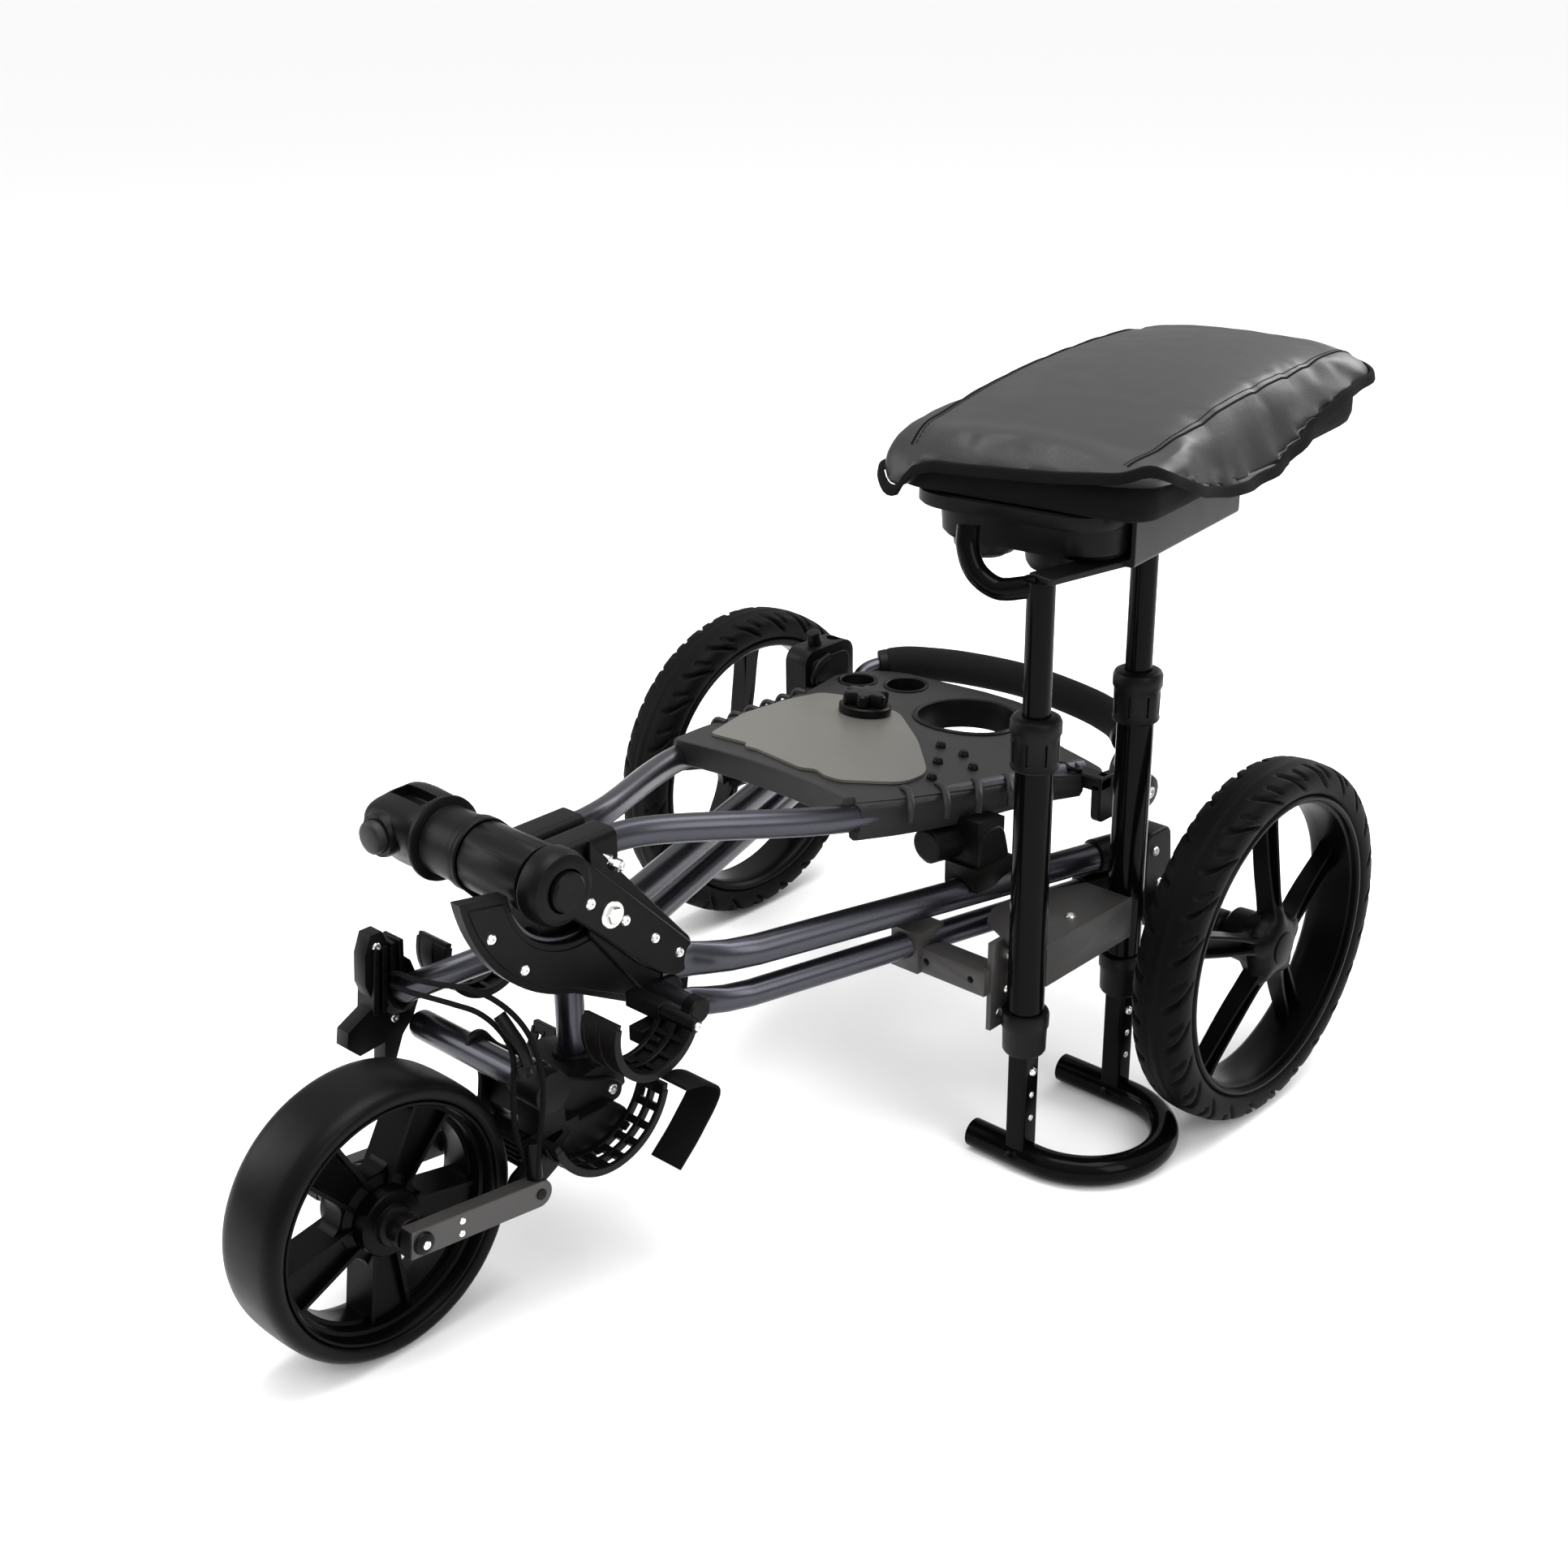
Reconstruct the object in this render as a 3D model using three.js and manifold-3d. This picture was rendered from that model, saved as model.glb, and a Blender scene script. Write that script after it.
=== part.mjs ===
// Three-wheel golf push buggy, folded down, with a padded seat on two telescopic legs at its right side.
// Millimetres, +Z up. The front wheel points to -Y, the seat stands at +X, and the floor is z = 0.
// Everything is laid out about the buggy's own centreline (x = 0) and rear axle (y = 0); the last lines
// shift the whole buggy so that the origin is the middle of its footprint.
import * as THREE from "three";
import { mergeVertices } from "three/addons/utils/BufferGeometryUtils.js";
import Module from "manifold-3d";

const wasm = await Module();
wasm.setup();

// ---- Driving dimensions -------------------------------------------------------------------------------
const GAP = 0.3; // clearance between touching solids
const REAR_RADIUS = 145;
const REAR_HALF_TRACK = 274;
const REAR_HALF_WIDTH = 23;
const REAR_RIM_RADIUS = 121;
const FRONT_RADIUS = 100;
const FRONT_AXLE_Y = -648;
const FRONT_HALF_WIDTH = 29;
const FRONT_RIM_RADIUS = 86;
const AXLE_RADIUS = 6;
const FORK_PIVOT = { y: -548, z: 87 };
const FORK_ARM_X = 50;
const FOLD_AXIS = { y: -508, z: 300 }; // main joint, along X
const HALF_JOINT = 30; // half the width of the main joint between its side plates
const CRESCENT_LEFT = 20; // x of the crescent's left face, in front of the main joint
const DOWN_TUBE = { y: -466, bottom: 129, top: 201, radius: 10.5 };
const CROSS_BAR = { y: -527, z: 155, left: -96, right: 44, radius: 11 };
const LOWER_CRADLE = { centre: [-492, 140], inner: 49, outer: 55, fromDeg: 200, toDeg: 345 };
const BAG_SADDLE = { centre: [-478, 206], inner: 34, outer: 40, fromDeg: 162, toDeg: 338 };
const GRIP_AXIS = { y: 2, z: 238 }; // the handle's own hinge, along X
const UPPER_BAR = { start: [53, -383, 197], end: [170, -8, 198], radius: 11.5 };
const LOWER_BAR = { start: [51, -398, 164], end: [166, -18, 172], radius: 10 };
const CROSS_PIN = { y: -415, z: 182, radius: 9 };
const PIVOT_RADIUS = 8; // the main joint's pin
const BUTTON = { x: -106, z: 303, radius: 12 }; // release button in the lock knob
const POST_X = 197.5;
const POST_Y = { front: -195, rear: -70 };
const POST_RADIUS = 10;
const SEAT_TUBE = { radius: 13.8, bore: 12.4, bottom: 112, top: 352 };
const LEG_SIDE = 17; // square lower legs
const FOOT_RADIUS = 11.4;
const SNAP_HEIGHT = 86;
const SNAP_RADIUS = 3.5;
const SEAT_CENTRE = [140, 5];
const SEAT_TURN = THREE.MathUtils.degToRad(7);
const SEAT_HALF = [112, 205];
const CONSOLE_FRONT = [0, -268, 297];
const CONSOLE_TILT = THREE.MathUtils.degToRad(-7.1);

// ---- Materials ----------------------------------------------------------------------------------------
const finish = (color, roughness, metalness) =>
  new THREE.MeshStandardMaterial({ color, roughness, metalness });
const RUBBER = finish(0x1c1c1d, 0.85, 0);
const BLACK_PLASTIC = finish(0x161616, 0.5, 0);
const GREY_TUBE = finish(0x5a5c66, 0.35, 0.85);
const GREY_PAINT = finish(0x4a4947, 0.55, 0.3);
const GLOSS_BLACK = finish(0x0c0c0c, 0.15, 0.3);
const STEEL = finish(0xb8b8b8, 0.3, 0.9);
const CHARCOAL = finish(0x3a3836, 0.6, 0);
const TITANIUM = finish(0x6d6a63, 0.4, 0.5);
const FOAM = finish(0x242424, 0.95, 0);
const LEATHERETTE = finish(0x38383a, 0.6, 0);
const WEBBING = finish(0x101010, 0.9, 0);

// ---- Solid helpers ------------------------------------------------------------------------------------
// A closed geometry as a solid; one whose faces point inwards is turned round first.
function solid(geometry) {
  const plain = geometry.clone();
  plain.deleteAttribute("normal");
  plain.deleteAttribute("uv");
  const merged = mergeVertices(plain, 1e-3);
  const corners = new Uint32Array(merged.index.array);
  const build = () =>
    new wasm.Manifold(
      new wasm.Mesh({ numProp: 3, vertProperties: merged.attributes.position.array, triVerts: corners }),
    );
  const first = build();
  if (first.volume() > 0) return first;
  for (let i = 0; i < corners.length; i += 3) {
    [corners[i], corners[i + 1]] = [corners[i + 1], corners[i]];
  }
  return build();
}

function geometryOf(body) {
  const mesh = body.getMesh();
  const geometry = new THREE.BufferGeometry();
  geometry.setAttribute("position", new THREE.BufferAttribute(mesh.vertProperties, 3));
  geometry.setIndex(new THREE.BufferAttribute(mesh.triVerts, 1));
  return geometry;
}

const joined = (...pieces) => geometryOf(pieces.map(solid).reduce((a, b) => a.add(b)));

function cut(base, ...tools) {
  return geometryOf(tools.map(solid).reduce((body, tool) => body.subtract(tool), solid(base)));
}

// ---- Shape helpers ------------------------------------------------------------------------------------
// A round rod between two points.
function rod(from, to, radius, sides = 16) {
  const a = new THREE.Vector3(...from);
  const b = new THREE.Vector3(...to);
  const geometry = new THREE.CylinderGeometry(radius, radius, a.distanceTo(b), sides);
  const along = b.clone().sub(a).normalize();
  geometry.applyQuaternion(new THREE.Quaternion().setFromUnitVectors(new THREE.Vector3(0, 1, 0), along));
  const middle = a.add(b).multiplyScalar(0.5);
  return geometry.translate(middle.x, middle.y, middle.z);
}

const rodX = (x0, x1, y, z, radius, sides = 16) => rod([x0, y, z], [x1, y, z], radius, sides);
const rodZ = (x, y, z0, z1, radius, sides = 16) => rod([x, y, z0], [x, y, z1], radius, sides);

// A box given by its lowest and highest corners.
function box(low, high) {
  const size = high.map((value, i) => value - low[i]);
  const geometry = new THREE.BoxGeometry(...size);
  return geometry.translate(...low.map((value, i) => value + size[i] / 2));
}

// A rectangular bar between two points, level across its width.
function bar(from, to, width, height) {
  const a = new THREE.Vector3(...from);
  const b = new THREE.Vector3(...to);
  const geometry = new THREE.BoxGeometry(width, a.distanceTo(b), height);
  const forward = b.clone().sub(a).normalize();
  const side = new THREE.Vector3().crossVectors(forward, new THREE.Vector3(0, 0, 1)).normalize();
  const up = new THREE.Vector3().crossVectors(side, forward);
  geometry.applyMatrix4(new THREE.Matrix4().makeBasis(side, forward, up));
  const middle = a.add(b).multiplyScalar(0.5);
  return geometry.translate(middle.x, middle.y, middle.z);
}

const smoothPath = (points) =>
  new THREE.CatmullRomCurve3(points.map((p) => new THREE.Vector3(...p)), false, "centripetal");

function disc(x, y, radius) {
  const shape = new THREE.Shape();
  shape.absarc(x, y, radius, 0, 2 * Math.PI);
  return shape;
}

// A round tube that follows a path; an arc is split into twice its curveSegments.
function tubeAlong(path, radius, steps, sides = 12) {
  const section = disc(0, 0, radius);
  return new THREE.ExtrudeGeometry(section, { steps, curveSegments: sides / 2, extrudePath: path });
}

// An outline of [y, z] points or a Shape in the YZ plane, extruded along X.
function plateX(outline, x0, x1, curveSegments = 8) {
  const shape = outline instanceof THREE.Shape ? outline : polygon(outline);
  const geometry = new THREE.ExtrudeGeometry(shape, { depth: x1 - x0, bevelEnabled: false, curveSegments });
  const basis = new THREE.Matrix4().makeBasis(
    new THREE.Vector3(0, 1, 0),
    new THREE.Vector3(0, 0, 1),
    new THREE.Vector3(1, 0, 0),
  );
  return geometry.applyMatrix4(basis).translate(x0, 0, 0);
}

// An outline in the XY plane, extruded along Z.
function plateZ(outline, z0, z1, curveSegments = 5) {
  const shape = outline instanceof THREE.Shape ? outline : polygon(outline);
  const geometry = new THREE.ExtrudeGeometry(shape, { depth: z1 - z0, bevelEnabled: false, curveSegments });
  return geometry.translate(0, 0, z0);
}

const polygon = (points) => new THREE.Shape(points.map(([x, y]) => new THREE.Vector2(x, y)));

// A rectangle with round corners.
function roundedRectangle(x0, y0, x1, y1, radius) {
  const shape = new THREE.Shape();
  shape.moveTo(x0 + radius, y0);
  shape.lineTo(x1 - radius, y0);
  shape.absarc(x1 - radius, y0 + radius, radius, -Math.PI / 2, 0);
  shape.lineTo(x1, y1 - radius);
  shape.absarc(x1 - radius, y1 - radius, radius, 0, Math.PI / 2);
  shape.lineTo(x0 + radius, y1);
  shape.absarc(x0 + radius, y1 - radius, radius, Math.PI / 2, Math.PI);
  shape.lineTo(x0, y0 + radius);
  shape.absarc(x0 + radius, y0 + radius, radius, Math.PI, 1.5 * Math.PI);
  return shape;
}

// A solid turned about the X axis: profile points are [radius, x], with the outside run from +x to -x.
function turnedX(profile, segments) {
  const points = profile.map(([radius, x]) => new THREE.Vector2(radius, x)).reverse();
  const closed = [...points, points[0].clone()];
  return new THREE.LatheGeometry(closed, segments).rotateZ(-Math.PI / 2);
}

// ---- Scene helpers ------------------------------------------------------------------------------------
const buggy = new THREE.Group();

function add(name, geometry, material, parent = buggy) {
  const mesh = new THREE.Mesh(geometry, material.clone());
  mesh.name = name;
  parent.add(mesh);
  return mesh;
}

function groupAt(x, y, z, parent = buggy) {
  const group = new THREE.Group();
  group.position.set(x, y, z);
  parent.add(group);
  return group;
}

const SIDES = { left: -1, right: 1 };

// ---- Wheels -------------------------------------------------------------------------------------------
function rearTyre() {
  const inner = REAR_RIM_RADIUS + GAP;
  const half = [
    [inner, 19],
    [130, REAR_HALF_WIDTH],
    [141, 20],
    [REAR_RADIUS, 9],
  ];
  const mirrored = half.map(([radius, x]) => [radius, -x]).reverse();
  return turnedX([...half, ...mirrored], 36);
}

// Five spokes, each of two ribs that part towards the rim; outward is +1 or -1 along X.
function rearRim(outward) {
  const ring = turnedX(
    [
      [113, 20],
      [REAR_RIM_RADIUS, 20],
      [REAR_RIM_RADIUS, -20],
      [113, -20],
    ],
    36,
  );
  const hub = rodX(-22, 22, 0, 0, 24, 20);
  const cap = rodX(outward * 20, outward * 26, 0, 0, 19, 20);
  const ribs = [];
  for (let spoke = 0; spoke < 5; spoke += 1) {
    const angle = Math.PI / 2 + (spoke * 2 * Math.PI) / 5;
    for (const side of [-1, 1]) {
      const root = angle + side * 0.28;
      const tip = angle + side * 0.17;
      const from = [outward * 6, 20 * Math.cos(root), 20 * Math.sin(root)];
      const to = [outward * 4, 115 * Math.cos(tip), 115 * Math.sin(tip)];
      ribs.push(radialBar(from, to, 14, 9));
    }
  }
  const bore = rodX(-outward * 30, outward * 16, 0, 0, AXLE_RADIUS + GAP, 16);
  return cut(joined(ring, hub, cap, ...ribs), bore);
}

// A bar in the wheel's plane: depth runs along X, width across the spoke.
function radialBar(from, to, depth, width) {
  const a = new THREE.Vector3(...from);
  const b = new THREE.Vector3(...to);
  const forward = b.clone().sub(a).normalize();
  const side = new THREE.Vector3().crossVectors(forward, new THREE.Vector3(1, 0, 0)).normalize();
  const axial = new THREE.Vector3().crossVectors(side, forward);
  const geometry = new THREE.BoxGeometry(width, a.distanceTo(b), depth);
  geometry.applyMatrix4(new THREE.Matrix4().makeBasis(side, forward, axial));
  const middle = a.add(b).multiplyScalar(0.5);
  return geometry.translate(middle.x, middle.y, middle.z);
}

function frontTyre() {
  const inner = FRONT_RIM_RADIUS + GAP;
  const half = [
    [inner, 26],
    [92, FRONT_HALF_WIDTH],
    [98.4, 22],
    [FRONT_RADIUS, 10],
  ];
  const mirrored = half.map(([radius, x]) => [radius, -x]).reverse();
  return turnedX([...half, ...mirrored], 40);
}

// A deep dished rim with five windows between wide spokes.
function frontRim() {
  const ring = turnedX(
    [
      [80, 26],
      [FRONT_RIM_RADIUS, 26],
      [FRONT_RIM_RADIUS, -26],
      [80, -26],
    ],
    40,
  );
  const web = rodX(-9, 9, 0, 0, 82, 40);
  const hub = rodX(-24, 24, 0, 0, 24, 16);
  const windows = [];
  for (let i = 0; i < 5; i += 1) {
    const window = polygon([
      [33, -9],
      [74, -26],
      [78, 0],
      [74, 26],
      [33, 9],
    ]);
    windows.push(plateX(window, -20, 20).rotateX((i * 2 * Math.PI) / 5 + 0.3));
  }
  const pierced = cut(web, ...windows);
  return cut(joined(ring, pierced, hub), rodX(-40, 40, 0, 0, AXLE_RADIUS + GAP, 16));
}

function addWheels() {
  for (const [side, sign] of Object.entries(SIDES)) {
    const wheel = groupAt(sign * REAR_HALF_TRACK, 0, REAR_RADIUS);
    add(`rear_tyre_${side}`, rearTyre(), RUBBER, wheel);
    add(`rear_rim_${side}`, rearRim(sign), BLACK_PLASTIC, wheel);
  }
  const front = groupAt(0, FRONT_AXLE_Y, FRONT_RADIUS);
  add("front_tyre", frontTyre(), RUBBER, front);
  add("front_rim", frontRim(), BLACK_PLASTIC, front);
}

// ---- Front fork ---------------------------------------------------------------------------------------
function forkArm(sign) {
  const front = [sign * FORK_ARM_X, FRONT_AXLE_Y - 10, FRONT_RADIUS + 0.6];
  const back = [sign * FORK_ARM_X, FORK_PIVOT.y, FORK_PIVOT.z];
  const arm = bar(front, back, 12, 20);
  const heel = rodX(sign * (FORK_ARM_X - 6), sign * (FORK_ARM_X + 6), FORK_PIVOT.y, FORK_PIVOT.z, 10, 20);
  const axleBore = rodX(sign * 30, sign * 60, FRONT_AXLE_Y, FRONT_RADIUS, AXLE_RADIUS + GAP, 16);
  const pivotBore = rodX(sign * 30, sign * 60, FORK_PIVOT.y, FORK_PIVOT.z, 4.3, 16);
  return cut(joined(arm, heel), axleBore, pivotBore);
}

// The axle carries a spacer between the hub and each arm.
function frontAxle() {
  const pin = rodX(-60, 60, FRONT_AXLE_Y, FRONT_RADIUS, AXLE_RADIUS, 16);
  const spacers = [-1, 1].map((sign) => rodX(sign * 24.5, sign * 43.6, FRONT_AXLE_Y, FRONT_RADIUS, 12, 20));
  const heads = [-1, 1].map((sign) => rodX(sign * 56.4, sign * 60, FRONT_AXLE_Y, FRONT_RADIUS, 8, 12));
  return joined(pin, ...spacers, ...heads);
}

function addFork() {
  for (const [side, sign] of Object.entries(SIDES)) {
    add(`fork_arm_${side}`, forkArm(sign), GREY_TUBE);
  }
  add("front_axle", frontAxle(), BLACK_PLASTIC);
}

// ---- Lower frame --------------------------------------------------------------------------------------
// The casting at the bottom of the down tube: a body that takes the tube, an ear at the right that closes
// over the cross bar's end, and two lugs that carry the fork's pivot.
function lowerKnuckle() {
  const body = plateX(
    [
      [-522, 116],
      [-512, 136],
      [-470, 142],
      [-446, 136],
      [-444, 118],
      [-470, 102],
      [-510, 98],
    ],
    -30,
    30,
  );
  const bridge = box([-43, -515, 100], [43, -500, 122]);
  const lugs = [-1, 1].map((sign) => {
    const lug = bar([sign * 37, -504, 110], [sign * 37, FORK_PIVOT.y, FORK_PIVOT.z], 12, 18);
    const eye = rodX(sign * 31, sign * 43.6, FORK_PIVOT.y, FORK_PIVOT.z, 9, 20);
    const pin = rodX(sign * 31, sign * 57, FORK_PIVOT.y, FORK_PIVOT.z, 4, 16);
    return joined(lug, eye, pin);
  });
  const downTubeSocket = rodZ(0, DOWN_TUBE.y, DOWN_TUBE.bottom - 1, 160, DOWN_TUBE.radius + GAP, 20);
  const { y, z, right, radius } = CROSS_BAR;
  const ear = rodX(20, right + 6, y, z, radius + 4, 20);
  const gusset = box([20, y - 8, 118], [43, -512, z - 5]);
  const crossBarSocket = rodX(-60, right + GAP, y, z, radius + GAP, 20);
  return cut(joined(body, bridge, ...lugs, ear, gusset), downTubeSocket, crossBarSocket);
}

function addLowerFrame() {
  add("lower_knuckle", lowerKnuckle(), BLACK_PLASTIC);
  add("down_tube", rodZ(0, DOWN_TUBE.y, DOWN_TUBE.bottom, DOWN_TUBE.top, DOWN_TUBE.radius), GREY_TUBE);
  const { y, z, left, right, radius } = CROSS_BAR;
  add("front_cross_bar", rodX(left, right, y, z, radius), GREY_TUBE);
  const bumper = [0, 1, 2, 3].map((i) => box([-21, -538, 88 + i * 6], [21, -522.5, 91 + i * 6]));
  const bumperCore = box([-20, -536, 88], [20, -522.5, 109]);
  add("rubber_bumper", joined(bumperCore, ...bumper), RUBBER);
}

// A cupped arm of a bag cradle: a ring sector with four windows, in the YZ plane.
function cradleArm({ centre, inner, outer, fromDeg, toDeg, low, high }) {
  const from = THREE.MathUtils.degToRad(fromDeg);
  const to = THREE.MathUtils.degToRad(toDeg);
  const sector = new THREE.Shape();
  sector.absarc(centre[0], centre[1], outer, from, to, false);
  sector.absarc(centre[0], centre[1], inner, to, from, true);
  const windows = [];
  const count = 4;
  const edge = (high - low) / 4;
  for (let i = 0; i < count; i += 1) {
    const angle = from + ((to - from) * (i + 0.5)) / count;
    const tool = box([low + edge, inner - 6, -5], [high - edge, outer + 6, 5]).rotateX(angle);
    windows.push(tool.translate(0, centre[0], centre[1]));
  }
  return cut(plateX(sector, low, high, 10), ...windows);
}

// The span |x| = near..far on one side of the centreline, lowest first.
const span = (sign, near, far) => [sign * near, sign * far].sort((a, b) => a - b);

function lowerCradle(sign) {
  const [low, high] = span(sign, 43.4, 70);
  return cradleArm({ ...LOWER_CRADLE, low, high });
}

// The upper saddle that a bag leans on, held to the side plate by a short bar.
function bagSaddle(sign) {
  const [low, high] = span(sign, 70, 104);
  const saddle = cradleArm({ ...BAG_SADDLE, low, high });
  const [barLow, barHigh] = span(sign, HALF_JOINT + 10.4, 74);
  return joined(saddle, box([barLow, -450, 186], [barHigh, -438, 198]));
}

// The stowed bag rest at the left: an ear for its screw at the top and a hook below.
function bagRest() {
  const plate = plateX(
    [
      [-566, 222],
      [-568, 200],
      [-562, 182],
      [-586, 170],
      [-588, 158],
      [-578, 148],
      [-556, 150],
      [-558, 132],
      [-548, 132],
      [-540, 150],
      [-530, 160],
      [-520, 180],
      [-528, 205],
      [-545, 222],
      [-550, 236],
      [-560, 236],
    ],
    -110,
    -97,
  );
  const socket = rod([-112, -544, 176], [-97, -539, 185], 15, 20);
  return cut(joined(plate, socket), bagRestTube(GAP));
}

// From the bag rest up to the housing, which it meets beside the crescent.
const bagRestTube = (extra = 0) => rod([-104, -541.5, 180.5], [7.6, -501.8, 246.4], 10 + extra, 20);

function addBagRests() {
  for (const [side, sign] of Object.entries(SIDES)) {
    add(`lower_cradle_${side}`, lowerCradle(sign), BLACK_PLASTIC);
    add(`bag_saddle_${side}`, bagSaddle(sign), BLACK_PLASTIC);
  }
  add("bag_rest", bagRest(), BLACK_PLASTIC);
  add("bag_rest_tube", bagRestTube(), GREY_TUBE);
  const strap = [
    [-474, 174],
    [-434, 166],
    [-424, 152],
    [-470, 98],
    [-488, 112],
    [-452, 150],
    [-470, 160],
  ];
  add("cradle_strap", plateX(strap.reverse(), 104.4, 107), WEBBING);
}

// ---- Main joint ---------------------------------------------------------------------------------------
// The housing cups the yoke's barrel from below and runs down to the ends of the rear legs. Forward of
// the barrel's middle only a crescent on its right half is left.
function mainHousing() {
  const ring = { y: -454, z: 329, radius: 126 };
  const deg = THREE.MathUtils.degToRad;
  const outline = new THREE.Shape();
  outline.absarc(ring.y, ring.z, ring.radius, deg(189.6), deg(255), false);
  outline.lineTo(-404, 150);
  outline.lineTo(-380, 152);
  outline.lineTo(-376, 208);
  outline.absarc(FOLD_AXIS.y, FOLD_AXIS.z, 27, deg(-30), deg(-180), true);
  const body = plateX(outline, -HALF_JOINT, HALF_JOINT, 14);
  const besideCrescent = box([-HALF_JOINT - 1, -600, 180], [CRESCENT_LEFT, -502, 420]);
  const { y, radius, top } = DOWN_TUBE;
  const downTubeSocket = rodZ(0, y, 120, top + 13, radius + GAP, 20);
  return cut(body, besideCrescent, downTubeSocket, crossPinBore(), bagRestTube(GAP));
}

const crossPinBore = () => rodX(-90, 90, CROSS_PIN.y, CROSS_PIN.z, CROSS_PIN.radius + GAP, 20);

// A side plate: a boss round the fold axis and an arm down to the two bars of the leg on its side.
function sidePlate(sign) {
  const deg = THREE.MathUtils.degToRad;
  const outline = new THREE.Shape();
  outline.absarc(FOLD_AXIS.y, FOLD_AXIS.z, 27, deg(49), deg(229), false);
  outline.absarc(-398, 160, 13, deg(229), deg(360), false);
  outline.absarc(-394, 204, 16, deg(0), deg(49), false);
  const [low, high] = span(sign, HALF_JOINT + GAP, HALF_JOINT + 10);
  const plate = plateX(outline, low, high, 14);
  const bossEnd = sign > 0 ? 50 : 70;
  const boss = rodX(sign * 35, sign * bossEnd, FOLD_AXIS.y, FOLD_AXIS.z, sign > 0 ? 25 : 23, 24);
  const pinBore = rodX(-90, 90, FOLD_AXIS.y, FOLD_AXIS.z, PIVOT_RADIUS + GAP, 16);
  return cut(joined(plate, boss), pinBore, crossPinBore());
}

// The yoke turns on the pivot pin; its two sleeves hold the handle tubes.
function jointYoke() {
  const barrel = rodX(-HALF_JOINT + GAP, HALF_JOINT - GAP, FOLD_AXIS.y, FOLD_AXIS.z, 25, 24);
  const sleeves = [-1, 1].map((sign) => rod([sign * 16, -506, 302], [sign * 16, -440, 302], 13.6, 20));
  const tubes = [-1, 1].map((sign) => handleTube(sign, GAP));
  const pinBore = rodX(-40, 40, FOLD_AXIS.y, FOLD_AXIS.z, PIVOT_RADIUS + GAP, 16);
  return cut(joined(barrel, ...sleeves), pinBore, ...tubes);
}

function pivotPin() {
  const pin = rodX(-66, 54, FOLD_AXIS.y, FOLD_AXIS.z, PIVOT_RADIUS, 16);
  return joined(pin, rodX(50.4, 57, FOLD_AXIS.y, FOLD_AXIS.z, 14, 20));
}

// The lock knob: a flange, a lobed head and a square-edged lever, with a bore for its release button.
function lockKnob() {
  const { y, z } = FOLD_AXIS;
  const flange = rodX(-77, -70.4, y, z, 31, 28);
  const head = rodX(-130, -76, y, z, 23, 24);
  const lobes = [35, 150, 265].map((angle) => {
    const turn = THREE.MathUtils.degToRad(angle);
    return rodX(-128, -82, y + 19 * Math.cos(turn), z + 19 * Math.sin(turn), 14, 16);
  });
  const collar = rod([BUTTON.x, -512, BUTTON.z], [BUTTON.x, -541, BUTTON.z], 16.5, 20);
  const bore = rod([BUTTON.x, -520, BUTTON.z], [BUTTON.x, -560, BUTTON.z], BUTTON.radius + GAP, 20);
  return cut(joined(flange, head, ...lobes, collar), bore);
}

function addMainJoint() {
  add("main_housing", mainHousing(), BLACK_PLASTIC);
  add("side_plate_left", sidePlate(-1), BLACK_PLASTIC);
  add("side_plate_right", sidePlate(1), BLACK_PLASTIC);
  add("joint_yoke", jointYoke(), BLACK_PLASTIC);
  add("pivot_pin", pivotPin(), BLACK_PLASTIC);
  add("cross_pin", rodX(-52, 80, CROSS_PIN.y, CROSS_PIN.z, CROSS_PIN.radius), GREY_TUBE);
  add("lock_knob", lockKnob(), BLACK_PLASTIC);
  const button = rod([BUTTON.x, -528, BUTTON.z], [BUTTON.x, -548, BUTTON.z], BUTTON.radius, 20);
  add("lock_button", button, CHARCOAL);
}

// ---- Rear legs ----------------------------------------------------------------------------------------
const mirroredPoint = (sign, [x, y, z]) => [sign * x, y, z];

function legBar(sign, { start, end, radius }, extra = 0) {
  return rod(mirroredPoint(sign, start), mirroredPoint(sign, end), radius + extra, 20);
}

// The casting at the end of a leg holds both bars and the wheel's axle.
function legEnd(sign) {
  const [low, high] = span(sign, 152, 186);
  const block = box([low, -26, 150], [high, 8, 214]);
  const web = box([low, -16, 130], [high, 14, 156]);
  const housing = rodX(sign * 152, sign * 246, 0, REAR_RADIUS, 14, 24);
  const axleBore = rodX(sign * 191, sign * 260, 0, REAR_RADIUS, AXLE_RADIUS + GAP, 16);
  const bars = [legBar(sign, UPPER_BAR, GAP), legBar(sign, LOWER_BAR, GAP)];
  return cut(joined(block, web, housing), axleBore, ...bars);
}

function addLegs() {
  for (const [side, sign] of Object.entries(SIDES)) {
    add(`upper_bar_${side}`, legBar(sign, UPPER_BAR), GREY_TUBE);
    add(`lower_bar_${side}`, legBar(sign, LOWER_BAR), GREY_TUBE);
    add(`leg_end_${side}`, legEnd(sign), BLACK_PLASTIC);
    add(`rear_axle_${side}`, rodX(sign * 192, sign * 289, 0, REAR_RADIUS, AXLE_RADIUS, 16), STEEL);
  }
}

// ---- Handle frame and console -------------------------------------------------------------------------
// The console's own plane: u across, v rearwards, w up from its top face.
const consolePlane = new THREE.Matrix4().compose(
  new THREE.Vector3(...CONSOLE_FRONT),
  new THREE.Quaternion().setFromAxisAngle(new THREE.Vector3(1, 0, 0), CONSOLE_TILT),
  new THREE.Vector3(1, 1, 1),
);
const onConsole = (geometry) => geometry.applyMatrix4(consolePlane);
const consolePoint = (u, v, w) => new THREE.Vector3(u, v, w).applyMatrix4(consolePlane).toArray();

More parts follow.
